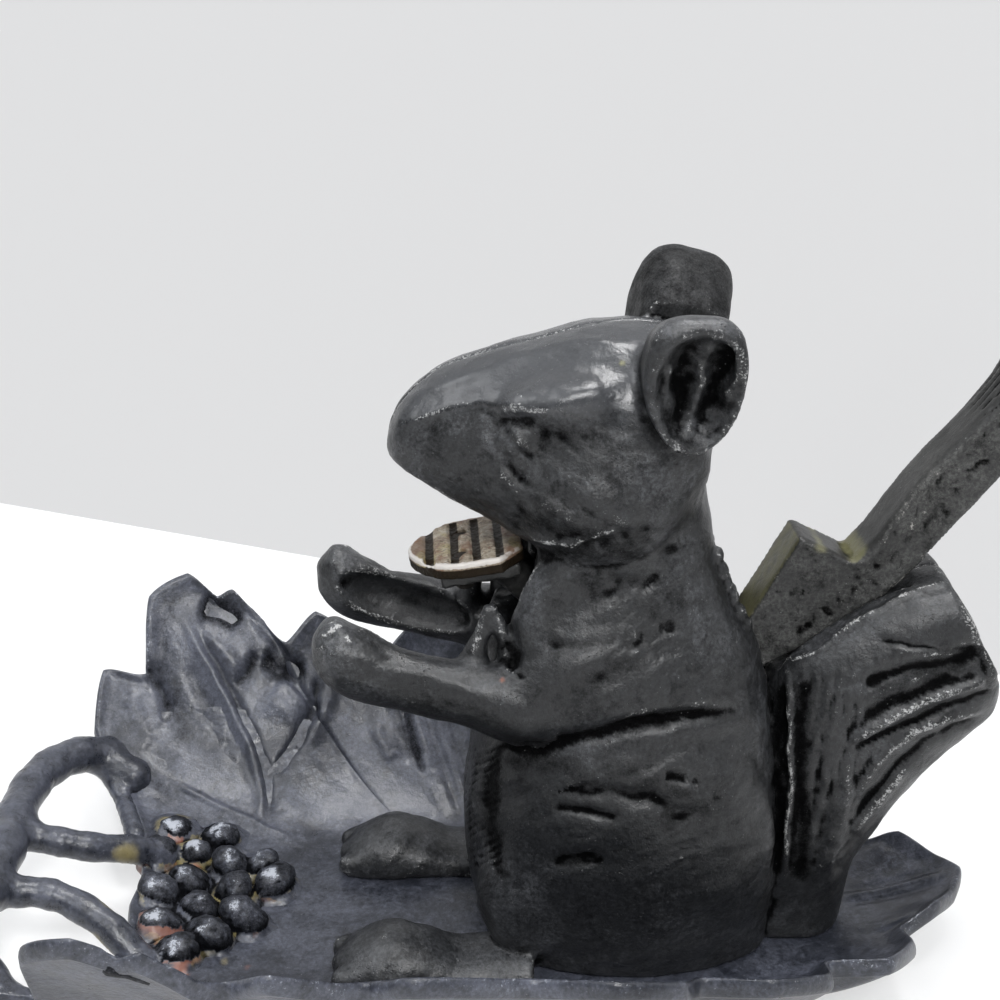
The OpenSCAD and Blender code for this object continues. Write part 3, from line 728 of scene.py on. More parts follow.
# Course and radii of the front edge of the neck, and of the two tufts at the top of the chest
NECK_EDGE = ([(13.2, 14.0, 106), (10.8, 14.2, 101.5), (8.8, 14.4, 97), (6.9, 14.4, 93.4), (5.6, 14.8, 89)],
             [2.6, 2.9, 3.1, 3.0, 3.2])
TUFTS = [([(-7.5, 15.2, 76), (-5.6, 14.8, 83), (-2.9, 14.2, 91.2)], [3.0, 2.2, 1.1]),
         ([(-2.9, 14.2, 91.2), (0.6, 15.4, 84.5), (2.5, 16.5, 77)], [1.1, 2.0, 3.2])]
# Scalloped edge of the slot down the back of the neck
SCALLOPS = [(43.6, 99.4), (44.9, 96.0), (46.1, 92.9), (47.6, 89.6), (49.2, 86.6), (50.6, 83.6)]
T_TRUNK, T_HEAD, T_ROOT, T_LEG, T_FOOT, T_HAUNCH, T_EAR = 1, 2, 3, 4, 5, 6, 7

# Courses on the picture that more than one casting form shares
NECK_FOLD = [(520, 551), (542, 558), (573, 557), (595, 549), (633, 537), (655, 530)]
HAUNCH_FOLD = [(495, 740), (505, 746), (523, 748), (557, 745), (605, 732), (652, 722), (687, 716),
               (716, 714), (730, 711)]
HAUNCH_BACK = [(750, 702), (760, 728), (766, 770), (768, 820), (769, 874)]
SEAM = [(788, 672), (791, 700), (791, 731), (790, 751), (793, 771), (791, 801), (787, 823), (786, 846),
        (784, 874)]
BELLY = [(497, 748), (488, 775), (484, 800), (487, 830), (492, 850), (498, 875)]

# Marks on the side of the figure, by the form they are on: how far they stand out (mm), width and course on
# the picture, and how rubbed they are (below 0: soft, and without painted shade)
MARKS = {
    T_HEAD: [
        # the edge between crown and cheek, brow and the two soft ridges on the nose
        (0.45, 11, [(393, 427), (425, 417), (448, 408), (481, 401), (520, 403), (560, 401), (600, 392),
                    (632, 380)], 0),
        (0.6, 19, [(552, 404), (578, 398), (604, 388)], 0),
        (-0.45, 14, [(400, 443), (440, 434), (480, 427), (520, 428), (560, 432), (600, 424), (634, 414)], -1),
        (0.35, 4, [(393, 427), (425, 417), (448, 408), (481, 401), (494, 405), (522, 409), (542, 411),
                   (557, 406)], 0.12),
        (-0.4, 7, [(402, 433), (430, 425), (455, 417), (481, 411), (500, 417)], 0),
        (0.35, 5, [(397, 407), (405, 396), (456, 381), (517, 356), (583, 339), (613, 343), (631, 351)], 0),
        (-0.3, 7, [(400, 420), (430, 399), (470, 388), (530, 364), (590, 350)], 0),
        # eye: upper crease, lower lid, the slip of eyeball between them
        (-0.55, 3.4, [(497, 422), (507, 420), (516, 420), (527, 423), (533, 429)], 0),
        (-0.4, 3.0, [(504, 428), (511, 441), (519, 450), (528, 456), (536, 458)], 0),
        (0.75, 5.5, [(510, 428), (517, 438), (527, 448)], 0.1),
        (-0.25, 5.0, [(533, 430), (541, 440), (543, 452), (537, 460)], 0),
        (0.35, 7.0, [(483, 436), (492, 448), (500, 462)], 0),
        # cheek folds, and the rubbed edge of the upper lip
        (-0.55, 5.0, [(478, 447), (497, 458), (507, 464), (520, 477), (532, 488), (557, 498), (575, 510),
                      (590, 519)], 0),
        (0.45, 5.5, [(493, 467), (516, 487), (540, 500), (570, 517)], 0),
        (-0.5, 4.5, [(533, 468), (552, 487), (575, 500), (600, 519), (625, 533), (642, 544)], 0),
        (-0.45, 5, [(590, 468), (620, 489), (645, 518), (650, 540)], 0),
        (-1.0, 8.0, [(508, 514), (522, 523), (545, 532), (583, 539), (600, 539)], 0),
        (0.55, 3.6, [(388, 449), (408, 470), (438, 487), (471, 510), (481, 518), (512, 533), (542, 543),
                     (573, 546), (600, 536), (623, 528)], 0.42),
        (-1.0, 5.5, NECK_FOLD, 0),
    ],
    T_TRUNK: [
        # neck
        (-1.3, 5.5, NECK_FOLD, 0),
        (-0.8, 5.0, [(588, 571), (621, 559), (656, 552), (682, 548)], 0),
        (-0.5, 6.0, [(585, 600), (625, 585), (665, 580)], 0),
        (0.35, 8.0, [(640, 545), (668, 560), (672, 590)], 0),
        (0.8, 4.0, [(546, 542), (539, 560), (530, 580), (517, 598), (501, 606), (489, 602)], 0.35),
        (0.7, 4.0, [(487, 604), (478, 630), (473, 656)], 0.2),
        (0.7, 4.0, [(492, 604), (500, 620), (504, 640)], 0.2),
        (-1.8, 5.0, [(503, 642), (511, 655), (508, 668)], 0),
        (-0.7, 5.0, [(659, 629), (669, 627), (667, 634)], 0),
        (-0.5, 5.0, [(636, 634), (644, 636)], 0),
        (-0.6, 9.0, [(565, 697), (600, 680), (640, 662)], 0),
        (-0.5, 5.0, [(540, 640), (575, 648), (620, 640), (655, 650)], 0),
        (-2.4, 5.0, HAUNCH_FOLD, 0),
        (0.7, 9.0, HAUNCH_BACK, 0),
        (1.0, 2.8, SEAM, 0.26),
        (-0.9, 5.0, BELLY, 0),
    ],
    T_HAUNCH: [
        (-2.4, 5.0, HAUNCH_FOLD, 0),
        (-0.9, 6.5, [(501, 759), (525, 772), (551, 782), (573, 791), (623, 793), (653, 798), (687, 818),
                     (706, 831)], 0),
        (-0.75, 3.5, [(551, 804), (560, 808), (582, 810), (620, 819)], 0),
        (-0.6, 4.5, [(664, 777), (688, 779)], 0),
        (-0.5, 4.0, [(690, 779), (712, 790), (720, 803)], 0),
        (-0.8, 4.5, [(550, 865), (565, 861), (580, 860), (607, 862)], 0),
        (0.7, 9.0, HAUNCH_BACK, 0),
        (-0.9, 5.0, BELLY, 0),
    ],
    T_LEG: [
        (-1.2, 5.0, HAUNCH_FOLD[:6], 0),
        # wrist, knuckles, scratches
        (-0.6, 6.0, [(362, 626), (374, 640), (388, 650), (392, 664)], 0),
        (-0.5, 2.4, [(316, 646), (326, 641), (335, 634)], 0.2),
        (-0.5, 2.4, [(314, 657), (326, 651), (333, 645)], 0.2),
        (-0.5, 2.4, [(315, 668), (326, 664)], 0.2),
        (-0.45, 2.4, [(319, 679), (331, 676)], 0.1),
        (0.3, 3.2, [(335, 624), (344, 634), (352, 645)], 0.7),
        (0.25, 3.0, [(325, 648), (332, 655)], 0.55),
        (0.5, 12.0, [(398, 668), (430, 672), (470, 690)], 0),
        (0.15, 6.0, [(318, 650), (326, 634), (342, 626)], 0.3),
        (0.15, 5.0, [(316, 655), (316, 672), (324, 688)], 0.34),
        (0.1, 6.0, [(356, 622), (385, 634), (412, 642)], 0.2),
    ],
    T_ROOT: [
        (1.0, 2.8, SEAM, 0.26),
        (0.4, 3.0, [(783, 657), (794, 660), (822, 648), (843, 630), (873, 612), (895, 600), (920, 588),
                    (950, 580)], 0.34),
        (-0.55, 2.8, [(876, 639), (910, 645), (945, 650), (985, 649)], 0),
        (0.4, 9.0, [(872, 660), (900, 652), (940, 655)], 0),
        (-1.4, 8.0, [(860, 688), (890, 677), (923, 667), (955, 661), (988, 653)], 0),
        (-0.9, 10.0, [(858, 717), (890, 705), (925, 690), (962, 674)], 0),
        (0.9, 5.0, [(848, 744), (865, 733), (900, 713), (930, 698), (966, 687), (992, 674)], 0.12),
        (-0.9, 4.0, [(858, 748), (880, 736), (920, 718), (940, 708), (966, 701), (997, 688)], 0),
        (0.75, 5.0, [(860, 792), (870, 773), (890, 751), (915, 731), (945, 718), (980, 712)], 0.12),
        (-0.95, 5.0, [(852, 822), (860, 813), (880, 788), (900, 766), (925, 743), (955, 726), (990, 716)], 0),
        (0.5, 4.0, [(852, 838), (862, 820), (884, 793), (905, 772)], 0.15),
        (0.6, 8.0, [(822, 874), (834, 842), (843, 802), (848, 770)], 0),
        (-0.6, 6.0, [(838, 874), (850, 850), (858, 830)], 0),
        (-0.5, 6.0, [(812, 800), (822, 760), (826, 730)], 0),
        (-0.6, 3.6, [(948, 581), (963, 600), (975, 630), (983, 655), (987, 690)], 0),
        (0.35, 4.0, [(960, 590), (974, 625), (984, 660)], 0.2),
    ],
}

# Folds inside the ear: height above the cup's floor, width, course
EAR_MARKS = [
    (1.5, 7.0, [(713, 338), (703, 362), (706, 385), (697, 405), (691, 430)]),
    (-1.2, 7.0, [(690, 352), (684, 380), (682, 405), (684, 424)]),
    (-1.7, 7.5, [(728, 338), (728, 362), (719, 388), (706, 418)]),
    (0.7, 4.5, [(672, 362), (668, 390), (670, 415)]),
    (0.8, 4.0, [(738, 352), (738, 380), (728, 405)]),
]


def ear_form(lean, more):
    """The ear without its cup, leaning back by lean degrees and more times as large."""
    rows = catmull(EAR, 4)
    a = math.radians(lean)
    ca, sa = F32(math.cos(a)), F32(math.sin(a))

    def field(x, y, z):
        dx, dz = x - F32(EAR_HINGE[0]), z - F32(EAR_HINGE[1])
        xx = (ca * dx - sa * dz) / F32(more[0]) + F32(EAR_HINGE[0])
        zz = (sa * dx + ca * dz) / F32(more[2]) + F32(EAR_HINGE[1])
        cx, cz, rx, rz = (np.interp(y, rows[:, 0], rows[:, i]).astype(F32) for i in range(1, 5))
        s = (zz - cz) / rz
        c = (xx - cx) / (rx * (1 + F32(EAR_WIDER_TOP) * np.clip(s, -1, 1)))
        k0 = np.sqrt(c * c + s * s)
        k1 = np.sqrt((c / rx) ** 2 + (s / rz) ** 2)
        e = 2 / (1 - F32(EAR_SQUARE) * np.clip(s / np.maximum(k0, 1e-4), 0, 1))     # squarer on top
        k2 = np.power(np.power(np.abs(c), e) + np.power(np.abs(s), e), 1 / e)
        f = k2 * (k2 - 1) * (k0 / np.maximum(k2, 1e-4)) ** 2 / np.maximum(k1, 1e-4)
        cap = y - F32(EAR[-1][0])
        return np.maximum(np.maximum(f, cap) + fillet(f, cap, F32(EAR_EDGE)), F32(EAR[0][0]) - y)
    field.box = ((20, 6, 120), (58, 31, 160))
    return field


def ear_turn(p, lean, more):
    """Where a point of the upright ear goes when it leans back."""
    a = math.radians(lean)
    dx, dz = (p[0] - EAR_HINGE[0]) * more[0], (p[2] - EAR_HINGE[1]) * more[2]
    return (EAR_HINGE[0] + math.cos(a) * dx + math.sin(a) * dz, p[1],
            EAR_HINGE[1] - math.sin(a) * dx + math.cos(a) * dz)


def figure_space():
    """What both castings share, for y from 0 outwards: all but the ears and fore legs."""
    s = Space((-42, -2, 6.5), (109, 34, 158.5), STEP)
    foot = row_loft(HIND_FOOT)
    s.add(row_loft(TAIL_ROOT), 0, T_ROOT)
    s.add(row_loft(TRUNK), 0.5, T_TRUNK)
    for c, r, k in HAUNCH:
        s.add(ball(c, r), k, T_HAUNCH)
    s.add(lambda x, y, z: foot(x, y, z, FOOT_Y), 2.0, T_FOOT, shifted(foot.box, FOOT_Y))
    for y in TOES_Y:
        s.add(bar([(-27, y, 12.4), (-34.6, y, 10.8)], [3.6, 2.7]), 0.8, T_FOOT)
    s.add(row_loft(SKULL), 3.2, T_HEAD)
    for c, r, k in CHEEK_AND_BROW:
        s.add(ball(c, r), k, T_HEAD)
    s.add(ball((16, 18, 76), (16, 6.8, 12)), 5.0, T_TRUNK)          # shoulder
    s.add(bar(*NECK_EDGE), 6.0, T_TRUNK)
    for pts, half, k in ((LEVER_WAY, SLOT, 0.5), (STEM_WAY, SLOT, 0.5), (THROAT, THROAT_HALF, 1.2)):
        s.cut(plate(pts, half, 0.3), k)
    # the neck is open in front, behind the jaw
    s.cut(bar([(8, 0, 88.5), (9.5, 0, 98)], 8.4), 1.2)
    s.cut(bar([(13, 0, 82), (15, 0, 104)], 7.4), 0.8)
    # room for the stem at the end of its travel
    s.cut(bar([(8.6, 2.0, 77.2), (9.8, 5.6, 77.0)], 1.7), 0.6)
    for path, r in TUFTS:
        s.add(bar(path, r), 1.2, T_TRUNK)
    s.cut(bar([(-2.4, 16.6, 85.5), (-1.6, 18.6, 78.5)], [1.1, 2.0]), 0.8)
    for i, (x, z) in enumerate(SCALLOPS):
        s.add(ball((x, 8.1, z), (1.5, 1.8, 1.9 + 0.3 * (i % 2))), 0.7, T_TRUNK)
    s.f = np.maximum(s.f, (FIGURE_FOOT - s.z[None, None, :]).astype(F32))
    return s


def add_fore_leg(s, side):
    """The fore leg, with its hollow inner face; the left one closes in towards its paw."""
    leg = row_loft(FORE_LEG)
    toe_in = F32(TOE_IN if side < 0 else 0.0)
    dx, dz = (0.0, 0.0) if side < 0 else (0.8, -0.8)
    s.add(lambda x, y, z: leg(x + F32(dx), y - toe_in * (x - F32(10)), z + F32(dz), LEG_Y), 2.2, T_LEG,
          shifted(leg.box, LEG_Y))
    s.cut(ball((-20, 11 + (0 if side < 0 else 1.6), 80.4), (15, 4.4, 5.4), turn(0, 20, 0)), 1.0)
    s.cut(plate(THROAT, THROAT_HALF, 0.3), 1.2)


def wobble(v, size, by, seed=5):
    """Small shifts on the picture, so that no drawn line is dead straight."""
    return np.stack([lattice(v / size, seed), lattice(v / size, seed + 4)], 1) * by


def near_course(uv, pts, margin):
    """Which points of the picture lie within a margin of the box around a course."""
    p = np.array(pts, float)
    lo, hi = p.min(0) - margin, p.max(0) + margin
    return (uv[:, 0] > lo[0]) & (uv[:, 0] < hi[0]) & (uv[:, 1] > lo[1]) & (uv[:, 1] < hi[1])


def tapered(at, over, least):
    """Full strength along the middle of a course, down to a least share at its two ends."""
    most = 1 - least
    return (least + most * smooth01(at, 0, over)) * (least + most * (1 - smooth01(at, 1 - over, 1)))


def mark_all(v, n, tag):
    """Works the marks into the surface: how far it moves, how rubbed it is, and how much painted shade its
    creases get.
    """
    side = v.copy()
    side[:, 1] = -np.abs(side[:, 1])
    nn = n.copy()
    nn[:, 1] = -np.abs(nn[:, 1]) * np.where(np.sign(n[:, 1]) == np.sign(v[:, 1]), 1, -1)
    to_eye = EYE - side
    to_eye /= np.linalg.norm(to_eye, axis=1)[:, None]
    face = smooth01((nn * to_eye).sum(1), 0.0, 0.3)
    uv = seen(side)
    lift, rub, crease_shade = np.zeros((3, len(v)))
    for on, height, width, pts, wear in [(on, *mark) for on, rows in MARKS.items() for mark in rows]:
        if on == T_ROOT:
            height = height * (1.1 if height < 0 else 1.7)
        elif height < 0:
            width = width * 1.5
        sel = np.flatnonzero((tag == on) & (face > 0) & near_course(uv, pts, width * REACH))
        if not len(sel):
            continue
        d, at = to_line(uv[sel] + wobble(v[sel], 3.1, 1.1), pts)
        w = np.exp(-(d / width) ** 2) * tapered(at, 0.14, 0.25) * (0.82 + 0.3 * lattice(v[sel] / 5.0, 77))
        lift[sel] += height * w * face[sel]
        rub[sel] = np.maximum(rub[sel], wear * w * smooth01(lattice(v[sel] / 1.7, 31), -0.35, 0.45))
        # painted shade along sunken marks that are not rubbed
        if height < 0 and wear == 0:
            amount = min(0.9, 0.18 - 0.36 * height) * (0.4 if on == T_HEAD and height > -0.7 else 1.0)
            crease_shade[sel] = np.maximum(crease_shade[sel], amount * w * (0.62 if on == T_ROOT else 1.0))
    return lift, rub, crease_shade


def hatch(v, tag, corners, soft, angle, pitch, depth, tags, seed):
    """Short strokes of fur, as fine slanting furrows between two corners of the picture."""
    uv = side_view(v)
    inside = np.ones(len(v))
    for i, (a, b) in enumerate(zip(*corners)):
        inside *= smooth01(uv[:, i], a - soft, a + soft) * (1 - smooth01(uv[:, i], b - soft, b + soft))
    inside *= np.isin(tag, tags)
    a = math.radians(angle)
    run = uv[:, 0] * math.cos(a) + uv[:, 1] * math.sin(a)
    wav = np.sin(2 * math.pi * run / pitch + 3.0 * lattice(v / 6.0, seed) + 1.5 * lattice(v / 2.2, seed + 3))
    return -depth * inside * (0.5 + 0.5 * wav) * (0.5 + 0.5 * lattice(v / 4.0, seed + 7))


def finish_casting(v, q, tag):
    """Marks, fur and the slow unevenness of an iron casting."""
    n = relax(normals(v, q), edges_of(q), 2)
    n /= np.maximum(np.linalg.norm(n, axis=1), 1e-9)[:, None]
    lift, rub, crease_shade = mark_all(v, n, tag)
    lift = lift + (0.40 * rough(v, 8.0, 3, 2) + 0.12 * rough(v, 2.6, 23, 2))
    lift = lift + fur_on_body(v, tag)
    inner = smooth01(np.abs(v[:, 1]), 0.3, 2.0)     # the parting plane stays flat
    return v + n * (lift * inner)[:, None], rub, crease_shade


def wear_paint(v, q, rub, edge_gain, seed):
    """How rubbed the edges are, and how deep the hollows, which the materials darken as painted shade."""
    proud = 0.055 * STEP                            # what counts as an edge at this size of cell
    b = relax(bend(v, q, 4), edges_of(q), 1)
    wear = np.clip(b / proud - 0.9, 0, 1.5) * 0.42 * edge_gain
    broad = bend(v, q, 14)
    # painted shade: fine creases and broad hollows
    hollow = np.clip(-b / proud - 0.45, 0, 2) * 0.22 + np.clip(-broad / (proud * 5) - 0.15, 0, 2) * 0.28
    patch = 0.5 + 0.5 * rough(v, 14.0, seed + 50, 2)
    wear = wear * (0.35 + 0.9 * patch) + rub
    return np.clip(wear, 0, 1), np.clip(hollow, 0, 1)


def streaks(v, slope, size, seed):
    """Noise drawn out along one slanting direction of the side."""
    a = math.radians(slope)
    along = v[:, 0] * math.cos(a) + v[:, 2] * math.sin(a)
    over = -v[:, 0] * math.sin(a) + v[:, 2] * math.cos(a)
    bent = over + 1.6 * lattice(v / 9.0, seed + 40)
    return rough(np.stack([along / 3.6, v[:, 1] / 2.0, bent], 1), size, seed, 2)


def lumps(v, tag):
    """Worn fur and folds: drawn out down the neck and cheek, across the haunch, along the tail root."""
    return np.select([tag == T_HEAD, np.isin(tag, (T_TRUNK, T_HAUNCH, T_FOOT)), tag == T_ROOT, tag == T_LEG],
                     [streaks(v, -32, 3.0, 201), streaks(v, 24, 3.6, 205), streaks(v, 38, 3.8, 209),
                      streaks(v, -14, 3.4, 213)], 0.0)


# Fur on the body: two corners on the picture and how soft they are, slope, pitch, depth, where and seed
FUR = [(((462, 745), (500, 868)), 5, 62, 7.0, 0.55, (T_TRUNK, T_HAUNCH), 11),
       (((800, 670), (870, 870)), 12, 10, 13.0, 0.45, (T_ROOT,), 15),
       (((560, 830), (700, 876)), 10, 70, 9.0, 0.30, (T_HAUNCH, T_TRUNK), 19),
       (((600, 560), (700, 680)), 25, 35, 12.0, 0.22, (T_TRUNK,), 23)]
# The line between the smooth crown and the rough lower face
FACE_U, FACE_V = [390, 425, 481, 557, 640, 700], [431, 418, 403, 408, 440, 450]
SHEEN_U, SHEEN_V = [390, 425, 481, 557, 600, 640, 700], [431, 418, 403, 412, 425, 440, 450]


def fur_on_body(v, tag):
    out = sum(hatch(v, tag, *patch) for patch in FUR)
    uv = side_view(v)
    below = smooth01(uv[:, 1] - np.interp(uv[:, 0], FACE_U, FACE_V), 0, 14)
    out = out + (tag == T_HEAD) * below * 0.16 * rough(v, 1.9, 61, 2)
    ease = np.where(tag == T_HEAD, below, 1.0) * smooth01(np.abs(v[:, 1]), 6.5, 9)
    return out + np.where(tag == T_HEAD, 0.26, 0.36) * lumps(v, tag) * ease


def tone_of(v):
    """Slow differences in the dustiness of the finish."""
    return 0.5 + 0.5 * rough(v, 22.0, 91, 3)


# Where the figure is painted lighter (above 0) or darker (below 0): amount, width and course on the picture.
# Mostly painted light and shade: a painted highlight on the temple and on top of the ear, painted sheen on
# cheek, neck, haunch and tail root, painted shade under the jaw and on cheek, neck, body, arm, haunch and
# tail root; the pale patch on the paw is rubbed wear.
DUST_AND_LIGHT = [(0.55, 20, [(560, 396), (625, 378)]), (0.9, 16, [(335, 632), (330, 668)]),
        (0.45, 9, [(484, 440), (500, 462)]),
        (0.4, 12, [(684, 540), (674, 582)]), (0.5, 13, [(533, 592), (540, 640)]),
        (0.45, 12, [(765, 705), (768, 870)]),
        (0.15, 16, [(870, 632), (935, 604)]), (-0.45, 45, [(530, 790), (700, 830)]),
        (-0.4, 25, [(810, 700), (812, 870)]),
        (0.5, 12, [(652, 330), (700, 318), (735, 330)]), (-0.55, 28, [(470, 480), (560, 520), (610, 520)]),
        (-0.4, 26, [(560, 615), (650, 640)]), (-0.3, 20, [(440, 455), (520, 440), (590, 450)]),
        (-0.4, 40, [(560, 690), (660, 680)]),
        (-0.35, 18, [(380, 660), (450, 690)])]


def dust_and_light_of(v, n, tag):
    """Random dustiness, with painted light and shade on top: what faces up lighter, the crown most; all but
    the head a little darker; the inner part of each ear much darker; and the DUST_AND_LIGHT marks.
    """
    uv = side_view(v) + wobble(v, 6, 6, 15)
    out = tone_of(v) + np.where(tag == T_HEAD, 1.0, 0.35) * smooth01(n[:, 2], 0.35, 0.9)
    out = out - 0.16 * (tag != T_HEAD)
    out = out - 0.8 * ((tag == T_EAR) & (v[:, 1] < 22))
    for a, w, pts in DUST_AND_LIGHT:
        out = out + a * along(uv, pts, w) * smooth01(np.abs(v[:, 1]), 5, 9)
    return out


def make_figure(mat):
    s = figure_space()
    full = s.f.copy()
    marked = s.tag.copy()
    pieces = []
    for side, name in ((-1, "body_left"), (1, "body_right")):
        lean, more = (EAR_LEAN, EAR_MORE) if side > 0 else (0, np.ones(3))
        s.f, s.tag = full.copy(), marked.copy()
        add_fore_leg(s, side)
        s.add(ear_form(lean, more), 2.6, T_EAR)
        s.cut(ball(ear_turn(CUP_C, lean, more), np.array(CUP_R) * more, turn(0, lean, 0)), 1.4)
        s.f = np.maximum(s.f, -(s.y[None, :, None]))    # the parting plane
        if side > 0:
            for p in SCREWS:
                s.cut(across(p, *SCREW_HOLE), 0.3)
        v, q, tag = nets(s)
        v, rub, crease_shade = finish_casting(v, q, tag)
        v, cup_shade = ear_folds(v, q, lean, more)
        wear, hollow = wear_paint(v, q, rub, 0.8, 2)
        matte = matte_of(v, tag)
        # painted shade: creases, the broad SHADES bands and the fur furrows darken the hollows, more from the
        # haunch down
        furrow = np.clip(-0.1 - lumps(v, tag), 0, 1) * matte
        hollow = np.clip(hollow + np.maximum(crease_shade, shade_of(v, tag)) + 0.5 * furrow, 0, 1) * soft_of(v, tag)
        # painted shade over the whole far ear
        if side > 0:
            hollow = np.clip(hollow + 0.45 * (tag == T_EAR), 0, 1)
        # less rubbed wear and more painted shade in the ear's cup
        wear = np.clip(wear * (1 - 0.7 * cup_shade), 0, 1)
        hollow = np.maximum(hollow, cup_shade)
        tone = dust_and_light_of(v, relax(normals(v, q), edges_of(q), 6), tag)
        rust, olive = figure_tints(v, tag, side)
        paint = {"wear": wear, "hollow": hollow, "tone": tone, "matte": matte, "rust": rust, "olive": olive}
        v[:, 1] = np.maximum(v[:, 1], 0.0)
        if side < 0:
            v = v * np.array([1, -1, 1])
            q = q[:, ::-1]
        pieces.append((to_mesh(name + "_casting", v, q, paint, mat), name))
    return pieces


def ear_folds(v, q, lean, more):
    """Folds in the cup of the ear, and the painted shade in the cup: darker deep in it and in sunken folds,
    lighter on raised ones.
    """
    n = normals(v, q)
    sel = np.flatnonzero((v[:, 2] > 124) & (v[:, 1] > 17) & (v[:, 0] > 22))
    loc = ((v[sel] - np.array(ear_turn(CUP_C, lean, more))) @ turn(0, lean, 0)) / more
    r = np.sqrt((loc[:, 0] / CUP_R[0]) ** 2 + (loc[:, 2] / CUP_R[2]) ** 2)
    deep = (1 - smooth01(r, 0.80, 1.02)) * (n[sel, 1] > 0.05)
    upright = loc + np.array(CUP_C)
    upright[:, 1] = -25.5
    uv = seen(upright) + wobble(v[sel], 2.6, 3)
    out = v.copy()
    cup_shade = np.zeros(len(v))
    # painted shade in the cup
    dark = 0.42 * deep
    lift = np.zeros(len(sel))
    for h, w, pts in EAR_MARKS:
        d, at = to_line(uv, pts)
        g = np.exp(-(d / w) ** 2) * deep * tapered(at, 0.2, 0.35)
        lift += h * g
        dark = dark + (-0.24 * h if h < 0 else -0.16 * h) * g
    crumb = rough(v[sel], 2.4, 33, 3)
    out[sel] += n[sel] * (lift + 0.5 * crumb * deep)[:, None]
    dark = dark - (0.65 * crumb + 0.06) * deep
    cup_shade[sel] = np.clip(dark, 0, 1) * smooth01(deep, 0.0, 0.5)
    return out, cup_shade


# Broad painted shade on the side of the figure: strength, radii and place on the picture
SHADES = [(0.9, 8, [(781, 690), (779, 740), (780, 800), (776, 860)]),
          (0.9, 9, [(802, 690), (803, 740), (802, 800), (803, 870)]),
          (0.8, 9, [(500, 750), (492, 790), (494, 830), (503, 872)]),
          (0.55, 7, [(472, 760), (466, 800), (470, 860)]),
          (0.55, 11, [(545, 556), (590, 552), (640, 536)]), (0.6, 9, [(522, 512), (560, 530), (600, 536)]),
          (0.5, 10, [(640, 545), (610, 572), (590, 590)]), (0.45, 22, [(560, 430), (610, 440), (640, 430)]),
          (0.4, 14, [(650, 615), (700, 600)]), (0.45, 10, [(500, 760), (560, 765), (600, 780)]),
          (0.7, 7, [(493, 642), (500, 652), (510, 662)]), (0.35, 16, [(610, 770), (680, 790), (730, 820)]),
          (0.4, 12, [(420, 700), (470, 712), (520, 735)]), (0.5, 18, [(880, 690), (930, 672), (985, 655)])]


def shade_of(v, tag):
    uv = side_view(v) + wobble(v, 4.5, 5)
    out = np.zeros(len(v))
    for a, w, pts in SHADES:
        out = np.maximum(out, a * along(uv, pts, w))
    return out * (tag != T_EAR) * smooth01(np.abs(v[:, 1]), 6, 9)


def matte_of(v, tag):
    """Smooth crown and nose, coarser cheeks and body."""
    uv = side_view(v)
    below = smooth01(uv[:, 1] - np.interp(uv[:, 0], SHEEN_U, SHEEN_V), -6, 12)
    return np.where(tag == T_HEAD, below, 0.75)


def soft_of(v, tag):
    """How strong the painted shade in the hollows is: grey on head and neck, black from the haunch down."""
    low = smooth01(side_view(v)[:, 1], 620, 730)
    return np.where(tag == T_HEAD, 0.72, np.where(np.isin(tag, (T_TRUNK, T_LEG)), 0.72 + 0.16 * low, 0.88))


def spot(v, centre, r):
    uv = side_view(v)
    return np.clip(1.15 - np.hypot(uv[:, 0] - centre[0], uv[:, 1] - centre[1]) / r, 0, 1)


def figure_tints(v, tag, side):
    """A spot of rust in the crook of the near fore leg and of olive on the temple."""
    near = 1.0 if side < 0 else 0.0
    rust = near * 0.75 * spot(v, (502, 680), 6) * np.isin(tag, (T_TRUNK, T_LEG))
    return rust, near * 0.6 * spot(v, (622, 363), 6) * (tag == T_HEAD)


# ---- the lever --------------------------------------------------------------

TAIL = [[79.3, 87.5, 72.6, 95.6, 5.5, 12, 0], [84.6, 93, 77.0, 100.8, 5.5, 12, 0],
        [89.4, 98.5, 80.3, 105.8, 5.5, 12, 0], [93.8, 104, 84.4, 112.1, 5.5, 11, 0],
        [98.2, 109.3, 89.0, 118.1, 5.6, 9, 0], [102.8, 115.3, 93.8, 123.7, 6.2, 6, 0],
        [107.5, 123.4, 98.9, 130.4, 7.2, 4, 0], [111, 130.3, 102.2, 135.8, 8.6, 3.2, 0],
        [114.2, 137.2, 104.4, 142, 10.4, 2.7, 0], [117.6, 148, 105.6, 150.6, 12.4, 2.4, 0],
        [119.6, 159.5, 107.2, 161.6, 13, 2.3, 0], [122.6, 169, 111.6, 173.6, 12.6, 2.2, 0],
        [128, 176, 119.4, 184, 11, 2.2, 0], [135, 180, 130, 189.6, 8, 2.1, 0],
        [142, 182.2, 139.6, 190, 4.4, 2, 0], [144.4, 184, 144.0, 188, 1.8, 2, 0]]
BLOCK = [[61.5, 101.9], [51.3, 82.8], [47, 79], [40, 70], [54, 71.2], [60.1, 74.4], [72, 81.9], [79.3, 87.5],
         [88, 96.8], [79.4, 103], [76, 97.6], [73.6, 95.6], [68.2, 98.5]]
JAW_X0, JAW_L, JAW_W, JAW_T, JAW_Z, JAW_TILT = -18.6, 23.6, 23.0, 3.4, 95.1, math.radians(9)
PAD_T = 3
ROWS_PER_STEP = 8                         # of the tail's skin

